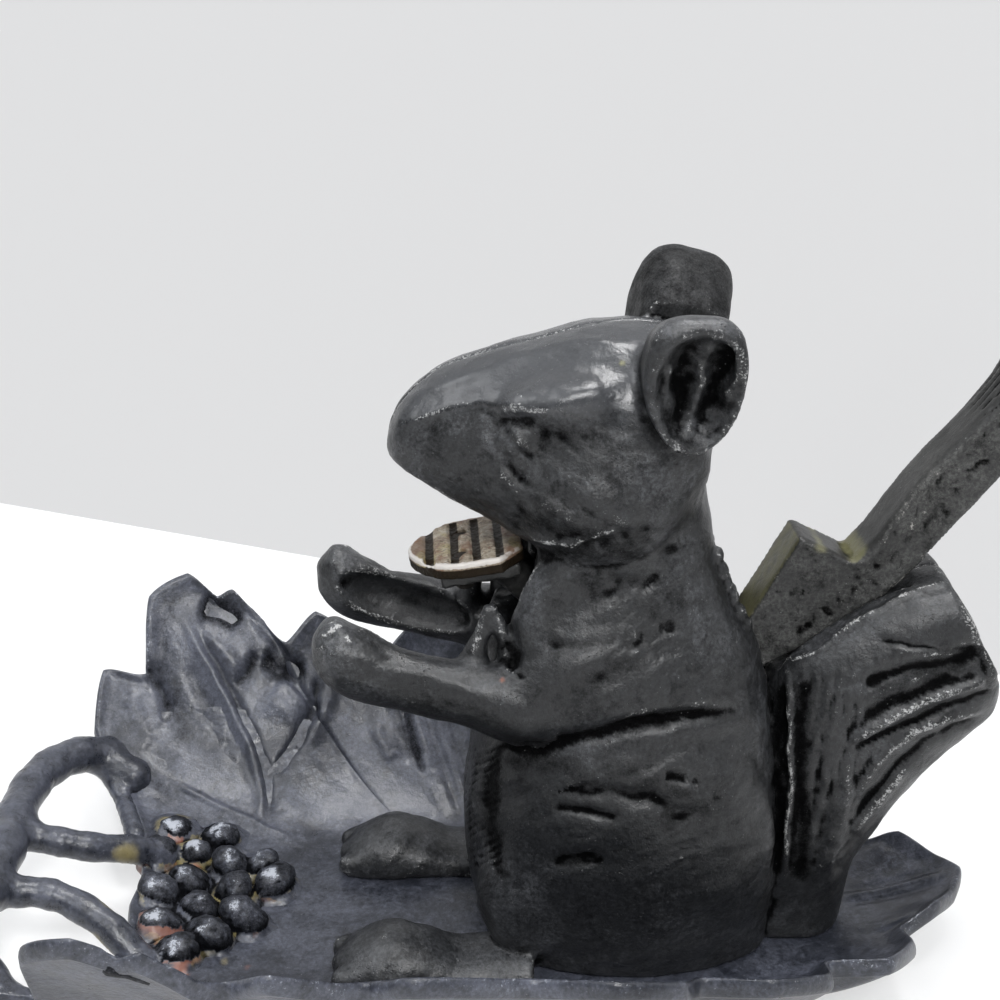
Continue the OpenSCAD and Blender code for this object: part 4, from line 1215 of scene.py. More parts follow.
# Ridges along the side of the arm: height, width and course on the picture
ARM_RIDGES = [
    (0.35, 5.0, [(792, 648), (838, 622), (880, 592), (925, 556), (965, 520), (1000, 480), (1040, 430)]),
    (-0.35, 7.0, [(800, 630), (835, 606), (868, 580), (905, 545), (945, 505), (990, 455)]),
    (0.45, 2.6, [(806, 541), (816, 548), (838, 554), (850, 564), (868, 562), (886, 535), (905, 508),
                 (950, 461), (985, 428), (1010, 408)])]
LOWER_EDGE = [(785, 656), (820, 641), (880, 600), (930, 555), (985, 500), (1010, 472)]
BLOCK_EDGE = [(808, 541), (838, 553), (850, 562)]
ARM_MIDDLE = [(905, 545), (950, 497), (992, 455)]
SHADED_CORNER = [(770, 640), (790, 660), (840, 628)]


def jaw_at(x, z):
    """From the jaw's own measure, along the plate and square to it, to the figure's."""
    c, s = math.cos(JAW_TILT), math.sin(JAW_TILT)
    return JAW_X0 + x * c - z * s, JAW_Z + x * s + z * c


def lever_space(tail):
    s = Space((-15, -14.5, 65), (147, 14.5, 192), STEP * 1.05)
    s.add(tail, 0, 1)
    s.add(plate(BLOCK, 5.5, 0.5), 0.8, 2)
    s.add(across(PIVOT, 9.0, -5.5, 5.5), 0.8, 3)
    x1 = JAW_L - 1
    stem = [[44, 70], [44, 84.5], [24, 87], [12, 89.5], jaw_at(x1, 0), jaw_at(x1 - 7, 0),
            jaw_at(x1 - 7, -PAD_T), [6, 86], [20, 78], [32, 71]]
    s.add(plate(stem, 4.5, 0.8), 1.2, 3)
    s.add(plate([jaw_at(6, -PAD_T), jaw_at(x1, -PAD_T), jaw_at(x1, 0), jaw_at(6, 0)], 8.28, 0.3), 0.6, 3)
    s.cut(across(PIVOT, 3.56, -20, 20))
    return s


def make_lever(mat):
    tail = row_loft(TAIL, ROWS_PER_STEP)
    s = lever_space(tail)
    v, q, tag = nets(s)
    n = normals(v, q)
    c, w, row = along_tail(tail, v, s)
    row = row / ROWS_PER_STEP
    arm = (tag == 1) * (1 - smooth01(row, 5.2, 6.8))
    side = smooth01(np.abs(n[:, 1]), 0.5, 0.85) * (np.abs(v[:, 1]) > 3.5)
    flat = side * np.maximum(arm, tag == 2)
    lift = 0.10 * rough(v, 6.0, 41, 2) + 0.06 * rough(v, 1.8, 45, 2)
    # coarse sand-cast sides
    lift = lift + flat * (0.16 * rough(v, 1.5, 46, 2) - 0.20 * smooth01(rough(v, 1.9, 48, 2), 0.15, 0.6))
    # fur on the brush of the tail: furrows that run along it
    phi = np.arctan2(v[:, 1] / np.maximum(w, 1), c)
    brush = smooth01(row, 4.6, 7.0) * (tag == 1)
    wav = np.sin(11 * phi + 2.2 * lattice(np.stack([row * 8 / 14, phi, phi * 0], 1) + 5, 51) + 0.8 * row)
    wav2 = np.sin(23 * phi - 1.6 + 3.0 * lattice(v / 9, 57))
    lift = lift + brush * (-0.55 * (1 - np.abs(wav)) ** 2 * 1.6 - 0.18 * (0.5 + 0.5 * wav2))
    uv = side_view(v)
    for h, wd, pts in ARM_RIDGES:
        lift = lift + h * along(uv, pts, wd) * side
    v = v + n * lift[:, None]
    _, at = to_line(uv, LOWER_EDGE)
    rub = np.maximum(0.40 * along(uv, LOWER_EDGE, 2.4) * side * smooth01(at, 0.15, 0.5),
                     0.45 * along(uv, BLOCK_EDGE, 2.2) * side)
    blotch = smooth01(rough(v, 4.0, 71, 3), 0.0, 0.6)
    rub = np.maximum(rub, 0.50 * blotch * along(uv, ARM_MIDDLE, 24.0) * side)
    wear, hollow = wear_paint(v, q, rub, 0.55, 7)
    # painted shade in the corner low by the block
    hollow = np.clip(hollow + 0.35 * along(uv, SHADED_CORNER, 14.0) * side, 0, 1)
    # olive bloom on the block's front and in the valley behind it
    x, _, z = v.T
    front = smooth01(-n[:, 0] * 0.86 + n[:, 2] * 0.5, 0.55, 0.9) * (x > 49) * (x < 63) * (z > 77)
    valley = np.exp(-((x - 74.5) / 3.6) ** 2 - ((z - 97) / 3.0) ** 2) * smooth01(n[:, 2], 0.1, 0.6)
    tip = 0.6 * np.exp(-((x - 66.0) / 2.6) ** 2 - ((z - 99.4) / 1.6) ** 2)
    olive = np.maximum(np.maximum(0.62 * front, 0.85 * valley), tip)
    paint = {"wear": wear, "hollow": hollow, "tone": tone_of(v) * 0.6 + 0.4 * flat, "olive": olive,
             "rust": np.zeros(len(v)), "matte": np.clip(0.25 + 0.75 * flat, 0, 1)}
    return to_mesh("tail_lever_casting", v, q, paint, mat)


def along_tail(tail, v, s):
    """Each point's place across the tail, the tail's width there, and its place along the rows."""
    c, _, w, _, _, _, row = tail.flat(s.x, s.z)
    i = np.clip(np.round((v[:, 0] - s.lo[0]) / s.h).astype(int), 0, s.n[0] - 1)
    k = np.clip(np.round((v[:, 2] - s.lo[2]) / s.h).astype(int), 0, s.n[2] - 1)
    return [a[i, k] for a in (c, w, row)]


# ---- the jaw plate ----------------------------------------------------------

JAW_EDGE = 0.45
GROOVES = [(JAW_L * t, deep) for t, deep in ((0.19, 0.5), (0.41, 0.45), (0.60, 0.5), (0.80, 0.85))]


def jaw_half(t):
    """Half the plate's width at a share of its length: a round nose, then straight, then drawn in."""
    if t < 0.5:
        return JAW_W / 2 * max(0.0, 1 - ((0.5 - t) / 0.5) ** 2) ** 0.62
    return JAW_W / 2 * (1 - (t - 0.8) * 2.2 if t > 0.8 else 1)


def make_jaw(mat):
    s = Space((-1, -JAW_W / 2 - 1, -1), (JAW_L + 1, JAW_W / 2 + 1, JAW_T + 1), 0.27)
    ts = [0.5 * (1 - math.cos(i * math.pi / 36)) for i in range(19)] + [0.8, 0.9, 1.0]
    pts = [(t * JAW_L, jaw_half(t)) for t in ts]
    pts += [(x, -y) for x, y in pts[:0:-1]]
    flat = outline(pts)
    d = flat(s.x, s.y)[:, :, None].astype(F32) + F32(JAW_EDGE)
    s.f = rounded(d, np.abs(s.z[None, None, :] - F32(JAW_T / 2)) - F32(JAW_T / 2 - JAW_EDGE), JAW_EDGE)
    for i, (x, deep) in enumerate(GROOVES):
        course = [(x + 0.1, -JAW_W * 0.36, JAW_T + deep), (x, 0, JAW_T + deep + 0.1),
                  (x - 0.1, JAW_W * 0.39, JAW_T + deep + 0.2)]
        s.cut(bar(course, 1.35), 0.5)
        if i < 3:
            s.cut(ball((x - 0.1, -JAW_W * (0.37 if i else 0.27), JAW_T - 0.1), (1.25, 1.2, 1.5)), 0.3)
    for side in (-1, 1):
        s.cut(ball((JAW_L * 0.46, side * JAW_W * 0.22, 0), (1.62, 1.62, 60)))
    v, q, _ = nets(s)
    v = v + normals(v, q) * (0.13 * rough(v, 1.6, 81, 2) + 0.05 * rough(v, 0.7, 85, 1))[:, None]
    d = -flat_at(flat, v[:, 0], v[:, 1])
    rim = np.exp(-(d / 0.8) ** 2) * smooth01(v[:, 2], JAW_T * 0.6, JAW_T * 0.8)
    proud = np.clip(bend(v, q, 4) / 0.02 - 0.6, 0, 1) * 0.2 * (v[:, 2] > JAW_T - 0.7)
    # painted shade: the grooves and the lower half of the plate, its edge and underside, are blackened
    # through the hollow paint, and the lower half is left unrubbed
    near = np.min([np.abs(v[:, 0] - x) for x, _ in GROOVES], axis=0)
    groove = (1 - smooth01(near, 0.5, 1.2)) * (np.abs(v[:, 1]) < JAW_W * 0.46) * (v[:, 2] > JAW_T * 0.4)
    lower = smooth01(JAW_T * 0.62 - v[:, 2], -0.3, 0.4)
    wear = np.clip(0.85 * rim * smooth01(-v[:, 1], -6, 3) + 0.3 * rim + proud, 0, 1)
    wear = wear * (1 - lower) * (1 - 0.5 * smooth01(v[:, 0], JAW_L - 6, JAW_L - 2))
    ends = np.maximum(1 - smooth01(v[:, 0], 2.5, 7.5), smooth01(v[:, 0], JAW_L - 5.5, JAW_L - 1.5))
    paint = {"wear": wear, "hollow": np.clip(groove + lower, 0, 1), "rust": 0.85 * ends}
    v[:, 0], v[:, 2] = jaw_at(v[:, 0], v[:, 2])
    return to_mesh("jaw_plate_casting", v, q, paint, mat)


def flat_at(flat, x, y):
    """An outline's distance at scattered points."""
    gx = np.linspace(x.min() - 1, x.max() + 1, 160)
    gy = np.linspace(y.min() - 1, y.max() + 1, 160)
    d = flat(gx, gy)
    i = np.clip((x - gx[0]) / (gx[1] - gx[0]), 0, 158.999)
    j = np.clip((y - gy[0]) / (gy[1] - gy[0]), 0, 158.999)
    a, b = i.astype(int), j.astype(int)
    fa, fb = i - a, j - b
    return ((d[a, b] * (1 - fa) + d[a + 1, b] * fa) * (1 - fb)
            + (d[a, b + 1] * (1 - fa) + d[a + 1, b + 1] * fa) * fb)


# ---- the leaf tray ----------------------------------------------------------

RIM = [[107, 0, 15.4], [103.4, 7, 14.4], [97, 14, 16.2], [89, 17, 12], [87, 30, 18], [78, 41, 23],
       [66, 39, 21], [62, 54, 30], [49, 60, 34], [36, 56, 31.5], [31, 66, 39], [17, 70, 43],
       [3, 62, 37.5], [-7, 68, 43], [-20, 71, 46], [-28, 65, 40.5], [-34, 69, 44],
       [-45, 73, 49.6], [-52.5, 67.2, 43.8], [-58, 71.2, 47.4], [-62.5, 72.5, 52], [-66.5, 74, 56],
       [-70.5, 72.5, 55], [-77.8, 75, 60.4], [-87.1, 71, 56], [-88.2, 62, 38.5], [-98.8, 62, 39.5],
       [-99.8, 51, 29], [-95, 45, 21],
       [-90, 37, 16.5], [-85, 25, 14], [-83, 10, 13], [-84, 0, 13]]
LEAF_C = np.array([11.0, 0.0])
LEAF_T, FLOOR_Z, FLOOR_RX, FLOOR_RY, CUP_POWER = 4.0, 8, 66, 35, 1.7
EDGE_ROLL = 0.95                          # radius of the rolled edge
NUTS = [[-76.8, 28, 13], [-80.5, 18, 12.6], [-66.4, 26.2, 12.1], [-63, 15.5, 11.2], [-55.6, 17, 11],
        [-52, 10, 10.8], [-71.5, 20, 11.8], [-72, 10, 11.6], [-77.5, 4, 12.6], [-61, 6, 11],
        [-68, 0, 11.4], [-58, -3, 10.8], [-76, -7, 12.4], [-65, -9, 11.2], [-71, -16, 11.8]]

# Half of the looped stalk, and of its fork inwards
VINE_LOOP = [[-95.2, 49.4, 22], [-102.2, 43, 26], [-107.8, 35, 27.2], [-110.4, 24.5, 27.4],
             [-110.7, 11, 27.4], [-110.7, -2, 27.4]]
VINE_FORK = [[-110.3, 13, 25.4], [-106, 10.5, 24.4], [-99.8, 9.5, 23.4], [-92.5, 10.7, 20.8],
             [-84.2, 15, 16.9], [-77.4, 19, 10.8]]

# Veins and folds of the leaf, drawn on the far half and repeated on the near one
LEAF_MARKS = [
    (1.1, 5.5, [(184, 619), (196, 640), (211, 668), (228, 700), (244, 732), (256, 764), (261, 792),
                (262, 822)]),
    (-1.3, 4.5, [(194, 628), (203, 641), (221, 672), (236, 701), (252, 732), (263, 763), (268, 789),
                 (269, 822)]),
    (-1.6, 4.5, [(257, 652), (250, 666), (246, 675), (235, 688)]),
    (-1.7, 5.0, [(320, 672), (318, 690), (311, 713), (298, 742), (283, 762), (270, 776)]),
    (0.9, 7.0, [(331, 672), (329, 695), (321, 720), (306, 748)]),
    (1.6, 20.0, [(268, 694), (285, 706), (300, 694)]),
    (-2.0, 11.0, [(262, 655), (282, 672), (308, 668)]),
    (0.8, 7.0, [(374, 722), (378, 737), (386, 752), (394, 762)]),
    (-1.0, 8.0, [(394, 700), (400, 722), (408, 748), (416, 765)]),
    (-1.3, 5.0, [(410, 708), (412, 725), (416, 747), (426, 775)]),
    (-1.5, 5.5, [(146, 662), (153, 680), (161, 690), (166, 706), (166, 724)]),
    (0.8, 9.0, [(150, 610), (152, 640), (158, 668)]),
    (0.6, 3.5, [(174, 781), (189, 791), (236, 815), (272, 830), (286, 836)]),
    (-0.6, 7.0, [(118, 700), (140, 740), (176, 772)]),
    (0.9, 10.0, [(128, 690), (135, 720), (150, 750)]),
    (-2.3, 14.0, [(200, 606), (222, 612), (240, 626)]),
    (0.9, 9.0, [(206, 632), (226, 652), (238, 670)]),
    (-0.9, 9.0, [(186, 660), (200, 690), (222, 730), (240, 765)]),
]


# Painted shade (above 0) and painted sheen (below 0) on the leaf: strength, width and course on the picture
LEAF_SHADE_AND_SHEEN = [
    (0.75, 13, [(170, 600), (163, 640), (170, 680), (185, 730)]),
    (0.6, 10, [(215, 605), (240, 622), (250, 650)]),
    (0.75, 12, [(272, 650), (292, 668), (318, 680)]),
    (0.6, 12, [(120, 740), (150, 780), (200, 812), (240, 825)]),
    (0.5, 8, [(112, 690), (118, 730)]), (0.7, 16, [(400, 850), (430, 862), (470, 870)]),
    (0.5, 16, [(330, 700), (330, 740)]),
    (0.5, 10, [(398, 705), (405, 750)]), (0.5, 12, [(300, 850), (350, 860)]),
    (-0.5, 12, [(190, 640), (215, 690), (240, 740)]), (-0.7, 17, [(262, 700), (285, 706), (300, 700)]),
    (-0.5, 16, [(345, 730), (365, 760), (340, 790)]), (-0.4, 14, [(146, 690), (165, 730), (200, 770)]),
    (-0.5, 10, [(428, 720), (445, 740)]), (-0.5, 9, [(196, 592), (214, 600)]),
    (-0.35, 14, [(290, 800), (360, 815), (430, 825)]),
]


class Leaf:
    """The cupped blade as heights over a ring of directions from its middle."""

    def __init__(self, fine):
        pts = RIM + [[p[0], -p[1], p[2]] for p in RIM[-2:0:-1]]
        many = [fine if p[1] >= 0 and p[0] < 5 else fine * 2 // 5 for p in pts]
        rim = []
        for i, k in enumerate(many):              # crisp lobes: part straight, part curved
            a, b, c, d = (np.array(pts[(i + j) % len(pts)], float) for j in (-1, 0, 1, 2))
            rim += [0.5 * curve_at(a, b, c, d, t) + 0.5 * (b + (c - b) * t) for t in np.arange(k) / k]
        rim = np.array(rim)
        rim[:, 1] = np.clip(rim[:, 1], -75, 75)
        rim[:, 0] = np.clip(rim[:, 0], -100.4, 107)
        inward = LEAF_C - rim[:, :2]
        inward /= np.linalg.norm(inward, axis=1)[:, None]
        rim[:, :2] += inward * EDGE_ROLL          # room for the rolled edge
        self.rim = rim
        d = rim[:, :2] - LEAF_C
        self.reach = np.linalg.norm(d, axis=1)
        self.dir = d / self.reach[:, None]
        self.flat = 1 / np.sqrt((self.dir[:, 0] / FLOOR_RX) ** 2 + (self.dir[:, 1] / FLOOR_RY) ** 2)
        turns = np.mod(np.arctan2(self.dir[:, 1], self.dir[:, 0]), 2 * np.pi)
        self.order = np.argsort(turns)
        self.turns = turns[self.order]

    def from_middle(self, x, y):
        """How far points are from the middle, in which direction, and how far the rim is that way."""
        d = np.stack([x - LEAF_C[0], y - LEAF_C[1]], -1)
        a = np.mod(np.arctan2(d[..., 1], d[..., 0]), 2 * np.pi)
        return np.linalg.norm(d, axis=-1), a, self.at_rim(a, self.reach)

    def at_rim(self, a, values):
        return np.interp(a, self.turns, values[self.order], period=2 * np.pi)

    def height(self, x, y):
        """The top surface over any point of the tray."""
        rho, a, reach = self.from_middle(x, y)
        flat = 1 / np.sqrt((np.cos(a) / FLOOR_RX) ** 2 + (np.sin(a) / FLOOR_RY) ** 2)
        t = np.clip((rho - flat) / np.maximum(reach - flat, 1e-3), 0, 1.2)
        return FLOOR_Z + (self.at_rim(a, self.rim[:, 2]) - FLOOR_Z) * t ** CUP_POWER

    def inside(self, x, y):
        rho, _, reach = self.from_middle(x, y)
        return rho < reach - 1.5


def ring_quads(rings, n):
    """Faces between rings of n points each."""
    i, j = np.meshgrid(np.arange(rings - 1), np.arange(n), indexing="ij")
    jn = (j + 1) % n
    return np.stack([i * n + j, (i + 1) * n + j, (i + 1) * n + jn, i * n + jn], -1).reshape(-1, 4)


def make_leaf(mat):
    leaf = Leaf(LEAF_FINE)
    n_round = len(leaf.rim)
    up_steps, floor_steps = 92, 6
    rings, ts = [], []
    for i in range(1, floor_steps + 1):
        f = i / floor_steps
        flat_z = np.full((n_round, 1), float(FLOOR_Z))
        rings.append(np.concatenate([LEAF_C + leaf.dir * (leaf.flat * f)[:, None], flat_z], 1))
        ts.append(f - 1)
    for t in np.linspace(0, 1, up_steps + 1)[1:]:
        r = leaf.flat + (leaf.reach - leaf.flat) * t
        z = FLOOR_Z + (leaf.rim[:, 2] - FLOOR_Z) * t ** CUP_POWER
        rings.append(np.concatenate([LEAF_C + leaf.dir * r[:, None], z[:, None]], 1))
        ts.append(t)
    m = len(rings)
    flat_top = np.concatenate(rings)
    q_top = ring_quads(m, n_round)
    nrm = normals(flat_top, q_top)
    if nrm[:, 2].mean() < 0:
        nrm = -nrm
    # the blade's own fall is even: its folds come from the rim, eased towards the floor
    nrm = relax(nrm, edges_of(q_top), 6)
    nrm /= np.linalg.norm(nrm, axis=1)[:, None]
    uv = far_view(flat_top)
    lift = sum(by * rough(flat_top, size, seed, 2)
               for by, size, seed in ((0.30, 15, 101), (0.16, 6, 103), (0.07, 2.4, 107)))
    tt = np.repeat(ts, n_round)
    rise = smooth01(tt, 0.02, 0.25)
    drawn = np.zeros(len(uv))
    for h, w, pts in LEAF_MARKS:
        sel = np.flatnonzero(near_course(uv, pts, w * REACH))
        d, at = to_line(uv[sel] + wobble(flat_top[sel], 4, 1.6), pts)
        drawn[sel] += h * np.exp(-(d / w) ** 2) * tapered(at, 0.15, 0.2)
    # a vein up the middle of each of the other lobes
    span = np.tile(leaf.reach - leaf.flat, m)
    for j in lobe_tips(leaf):
        if leaf.rim[j, 0] < -30:
            continue
        a = LEAF_C + leaf.dir[j] * leaf.flat[j] * 0.75
        b = leaf.rim[j, :2]
        d, _ = to_line(flat_top[:, :2], [a, a + (b - a) * 0.5 + np.array([0.8, 0.5]), b])
        vein = 0.6 * np.exp(-(d / 1.3) ** 2) - 0.6 * np.exp(-((d - 2.4) / 1.3) ** 2)
        drawn += vein * rise * (1 - smooth01(tt, 0.8, 0.97))
    # rolled edge
    from_rim = (1 - tt) * span
    lift += drawn
    lift += 0.55 * np.exp(-(np.maximum(from_rim, 0) / 1.6) ** 2) * (tt > 0)
    lift -= 0.22 * np.exp(-((from_rim - 3.8) / 1.6) ** 2) * (tt > 0)
    under_figure = (np.abs(flat_top[:, 0] - 27) < 58) & (np.abs(flat_top[:, 1]) < 30) & (tt <= 0)
    lift = np.where(under_figure, np.minimum(lift, 0) - 0.02, lift)
    new_top = flat_top + nrm * lift[:, None]
    # underside, straight below as cast, with the edge rolled over in a half round
    top = new_top.reshape(m, n_round, 3)
    under = (flat_top - [0, 0, LEAF_T]).reshape(m, n_round, 3)[sorted({*range(0, m, 4), m - 1})]
    out_dir = np.concatenate([leaf.dir, np.zeros((n_round, 1))], 1)
    mid, half = (top[-1] + under[-1]) / 2, (top[-1] - under[-1]) / 2
    edge = [mid + half * math.sin(r) + out_dir * (EDGE_ROLL * math.cos(r))
            for r in map(math.radians, (62, 34, 8, -20, -48, -72))]
    body = np.concatenate([top, np.stack(edge), under[::-1]])
    v = body.reshape(-1, 3)
    q = ring_quads(len(body), n_round)
    if normals(v, q)[:m * n_round, 2].mean() <= 0:
        q = q[:, ::-1]
    # the two middles
    c0 = len(v)
    v = np.concatenate([v, [[LEAF_C[0], 0, FLOOR_Z - 0.02], [LEAF_C[0], 0, FLOOR_Z - LEAF_T]]])
    j = np.arange(n_round)
    jn = (j + 1) % n_round
    fan_top = np.stack([np.full(n_round, c0), j, jn], 1)
    last0 = (len(body) - 1) * n_round
    fan_low = np.stack([np.full(n_round, c0 + 1), last0 + jn, last0 + j], 1)
    # finish
    n_top = m * n_round
    wear, hollow = np.zeros((2, len(v)))
    tone = 0.5 + 0.5 * rough(v, 18, 121, 3)
    patch = 0.5 + 0.5 * rough(flat_top, 9, 151, 2)
    wear[:n_top] = (0.42 * np.exp(-(from_rim / 1.0) ** 2) * (tt > 0) * (0.3 + patch)
                    + 0.26 * np.clip(drawn / 0.9, 0, 1) * smooth01(patch, 0.3, 0.8))
    wear[n_top:n_top + 3 * n_round] = 0.30 * np.tile(0.3 + patch[-n_round:], 3)
    # painted shade in the sunken veins and folds
    hollow[:n_top] = np.clip(-drawn / 2.2, 0, 0.7)
    uv = uv + wobble(flat_top, 5, 6)
    # painted shade where the strength is above 0, painted sheen as a lighter tone where below 0
    for a, w, pts in LEAF_SHADE_AND_SHEEN:
        sh = a * along(uv, pts, w)
        if a > 0:
            hollow[:n_top] = np.maximum(hollow[:n_top], 0.55 * sh)
        else:
            tone[:n_top] -= sh
    yellow = splash(v, [((126, 855), 17, 1.0), ((150, 862), 12, 0.7), ((240, 872), 9, 0.6)])
    rust = splash(v, [((205, 851), 14, 1.0), ((194, 868), 12, 0.9), ((262, 868), 7, 0.5)])
    paint = {"wear": wear, "hollow": hollow, "tone": tone, "olive": yellow, "rust": rust,
             "matte": np.full(len(v), 0.3)}
    return to_mesh("leaf_tray_blade", v, q, paint, mat, np.concatenate([fan_top, fan_low])), leaf


def splash(v, spots):
    """Old stains at the front of the tray, each with its place and radius on the picture and its strength."""
    uv = far_view(v)
    out = np.zeros(len(v))
    for c, r, a in spots:
        out = np.maximum(out, a * np.clip(1.2 - np.hypot(uv[:, 0] - c[0], uv[:, 1] - c[1]) / r, 0, 1))
    return out * (np.abs(v[:, 1]) < 60) * (v[:, 0] < -40)


def lobe_tips(leaf):
    r = leaf.reach + 0.6 * leaf.rim[:, 2]
    n = len(r)
    return [i for i in range(n) if r[i] >= max(r[(i + k) % n] for k in range(-LEAF_FINE, LEAF_FINE + 1))]


def make_vine(mat, leaf):
    """The looped stalk and the heap of nuts, cast on to the blade."""
    s = Space((-117.4, -56, 7.0), (-44, 56, 35.4), STEP * 0.85)
    for side in (-1, 1):
        for path, r in ((VINE_LOOP, 4.4), (VINE_FORK, 3.3)):
            p = catmull([[a, side * b, c] for a, b, c in path], 4)
            s.add(bar(p, r * (1 + 0.05 * np.sin(np.arange(len(p)) * 1.7 + side))), 3.4, 1)
        s.add(bar([(-97, side * 46.5, 22.5), (-89.5, side * 43.5, 19)], [3.8, 4.6]), 3.0, 1)
        spur = [(-96.5, side * 46, 21), (-91, side * 37, 16.4), (-86.5, side * 26, 13.6)]
        s.add(bar(spur, [2.6, 2.2, 2.4]), 2.0, 1)
    rng = np.random.default_rng(7)
    for x, y, z in NUTS:
        rot = turn(*(rng.uniform(-60, 60, 3)))
        r = rng.uniform(0.84, 1.12)
        s.add(ball((x, y, z + rng.uniform(-0.9, 0.5)), (5.3 * r, 4.3 * r, 3.6 * r), rot), 1.1, 2)
    X, Y = np.meshgrid(s.x.astype(float), s.y.astype(float), indexing="ij")
    h = leaf.height(X, Y)
    # dirt that has settled between the nuts
    nearest = nut_near(X, Y)
    grain = rough(np.stack([X, Y, X * 0], -1).reshape(-1, 3), 5, 173, 2).reshape(X.shape)
    heap = 2.6 * (1 - smooth01(nearest, 3.0, 8.5)) + 0.9 * (nearest < 9) * grain
    ground = (s.z[None, None, :] - h[:, :, None] + 0.75 - heap[:, :, None]).astype(F32)
    both = np.minimum(s.f, ground) - fillet(s.f, ground, F32(1.6))
    s.tag = np.where(ground < s.f, 3, s.tag).astype(np.uint8)
    # what lies under the leaf ends inside the blade
    both = np.maximum(both, (h[:, :, None] - 2.3 - s.z[None, None, :]).astype(F32))
    s.f = np.where(leaf.inside(X, Y)[:, :, None], both, s.f)
    v, q, tag = nets(s)
    n = normals(v, q)
    nuts = tag == 2
    v = v + n * ((0.14 + 0.55 * nuts) * rough(v, 3.0, 131, 2) + (0.08 + 0.14 * nuts) * rough(v, 1.1, 135, 1)
                 + 0.25 * (tag == 3) * rough(v, 1.8, 137, 2))[:, None]
    wear, hollow = wear_paint(v, q, np.zeros(len(v)), 0.5, 9)
    d = np.full(len(v), 99.0)
    for x, y, z in NUTS:
        d = np.minimum(d, np.linalg.norm((v - [x - 0.5, y - 1.6, z + 3.4]) / [2.6, 2.6, 2.2], axis=1))
    cap = np.clip(1.3 - d, 0, 1) * smooth01(rough(v, 2.4, 141, 2), -0.5, 0.4)
    wear = np.clip(wear + np.where(nuts, 0.9 * cap, 0), 0, 1)
    # painted shade: the nuts are darkened, more towards where they sit on the leaf, less on their worn tops
    low = np.clip(1.0 - (v[:, 2] - leaf.height(v[:, 0], v[:, 1])) / 4.0, 0, 1)
    hollow = np.clip(hollow + np.where(nuts, 0.5 + 0.5 * low - cap, 0), 0, 1)
    settled = 0.75 * (tag == 3) * (1 - smooth01(nut_near(v[:, 0], v[:, 1]), 3.5, 8.0))
    yellow = np.maximum(splash(v, [((126, 855), 19, 0.9), ((150, 862), 10, 0.4)]),
                        settled * (rough(v, 7, 161, 2) > 0.05))
    rust = np.maximum(splash(v, [((205, 851), 12, 0.9), ((194, 868), 11, 0.8)]),
                      settled * (rough(v, 6, 163, 2) > 0.12))
    paint = {"wear": wear, "hollow": hollow, "tone": tone_of(v), "olive": yellow * (~nuts),
             "rust": rust * (~nuts), "matte": 0.2 + 0.6 * nuts}
    return to_mesh("leaf_tray_vine_and_nuts", v, q, paint, mat)


def nut_near(x, y):
    """Distance across from the nearest nut."""
    return np.min([np.hypot(x - nx, y - ny) for nx, ny, _ in NUTS], axis=0)


def make_pad(mat):
    """The flat foot under the tray, with its four screw holes."""
    s = Space((-64, -24, -0.6), (64, 24, 6.2), STEP)
    x, y, z = s.x[:, None, None], s.y[None, :, None], s.z[None, None, :]
    d = np.sqrt(np.maximum(np.abs(x) - 40, 0) ** 2 + y ** 2) - 22 + 0 * z
    r = F32(0.6)
    s.f = rounded(d + r, np.abs(z - F32(2.6)) - F32(2.6) + r, r).astype(F32)
    for px, py in ((14, 13), (14, -13), (44, 13), (44, -13)):
        hole = (np.sqrt((x - px) ** 2 + (y - py) ** 2) - 5.2 + 0 * z).astype(F32)
        s.f = np.maximum(s.f, -np.maximum(hole, (z - 4.4).astype(F32)))
    v, q, _ = nets(s)
    v[:, 2] = np.maximum(v[:, 2], 0)
    none = np.zeros(len(v))
    wear, hollow = wear_paint(v, q, none, 0.8, 15)
    paint = {"wear": wear, "hollow": hollow, "tone": tone_of(v), "olive": none, "rust": none,
             "matte": none + 0.5}
    return to_mesh("leaf_tray_foot", v, q, paint, mat)


# ---- stage, light and camera ------------------------------------------------

def plain(name, colour, cam, bounce):
    """A backdrop that shows at one tone to the camera and to gloss, and still takes the shadow."""
    m = Nodes(name)
    t = m.t
    m.bsdf.inputs["Base Color"].default_value = (*colour, 1)
    m.bsdf.inputs["Roughness"].default_value = 0.9
    m.bsdf.inputs["Specular IOR Level"].default_value = 0.1
    em = t.nodes.new("ShaderNodeEmission")
    em.inputs["Color"].default_value = (*cam, 1)
    em.inputs["Strength"].default_value = 1.0
    path = t.nodes.new("ShaderNodeLightPath")
    see = m.math("MAXIMUM", path.outputs["Is Camera Ray"], path.outputs["Is Glossy Ray"])
    mix = t.nodes.new("ShaderNodeMixShader")
    m.link(m.mul(see, bounce), mix.inputs[0])
    m.link(m.bsdf.outputs[0], mix.inputs[1])
    m.link(em.outputs[0], mix.inputs[2])
    # from behind, the backdrop doesn't stand in the way
    behind = t.nodes.new("ShaderNodeNewGeometry").outputs["Backfacing"]
    clear = t.nodes.new("ShaderNodeMixShader")
    m.link(m.mul(path.outputs["Is Camera Ray"], behind), clear.inputs[0])
    m.link(mix.outputs[0], clear.inputs[1])
    m.link(t.nodes.new("ShaderNodeBsdfTransparent").outputs[0], clear.inputs[2])
    m.link(clear.outputs[0], m.out.inputs["Surface"])
    return m.mat


def sheet_of(name, pts, mat):
    me = bpy.data.meshes.new(name)
    me.from_pydata([tuple(c * MM for c in p) for p in pts], [], [tuple(range(len(pts)))])
    me.materials.append(mat)
    o = in_scene(name, me)


def on_floor(u, v):
    """The point of the table that shows at u, v."""
    d = -BACK * FOCUS + RIGHT * (u - MIDDLE) + UP * (MIDDLE - v)
    return EYE - d * EYE[2] / d[2]


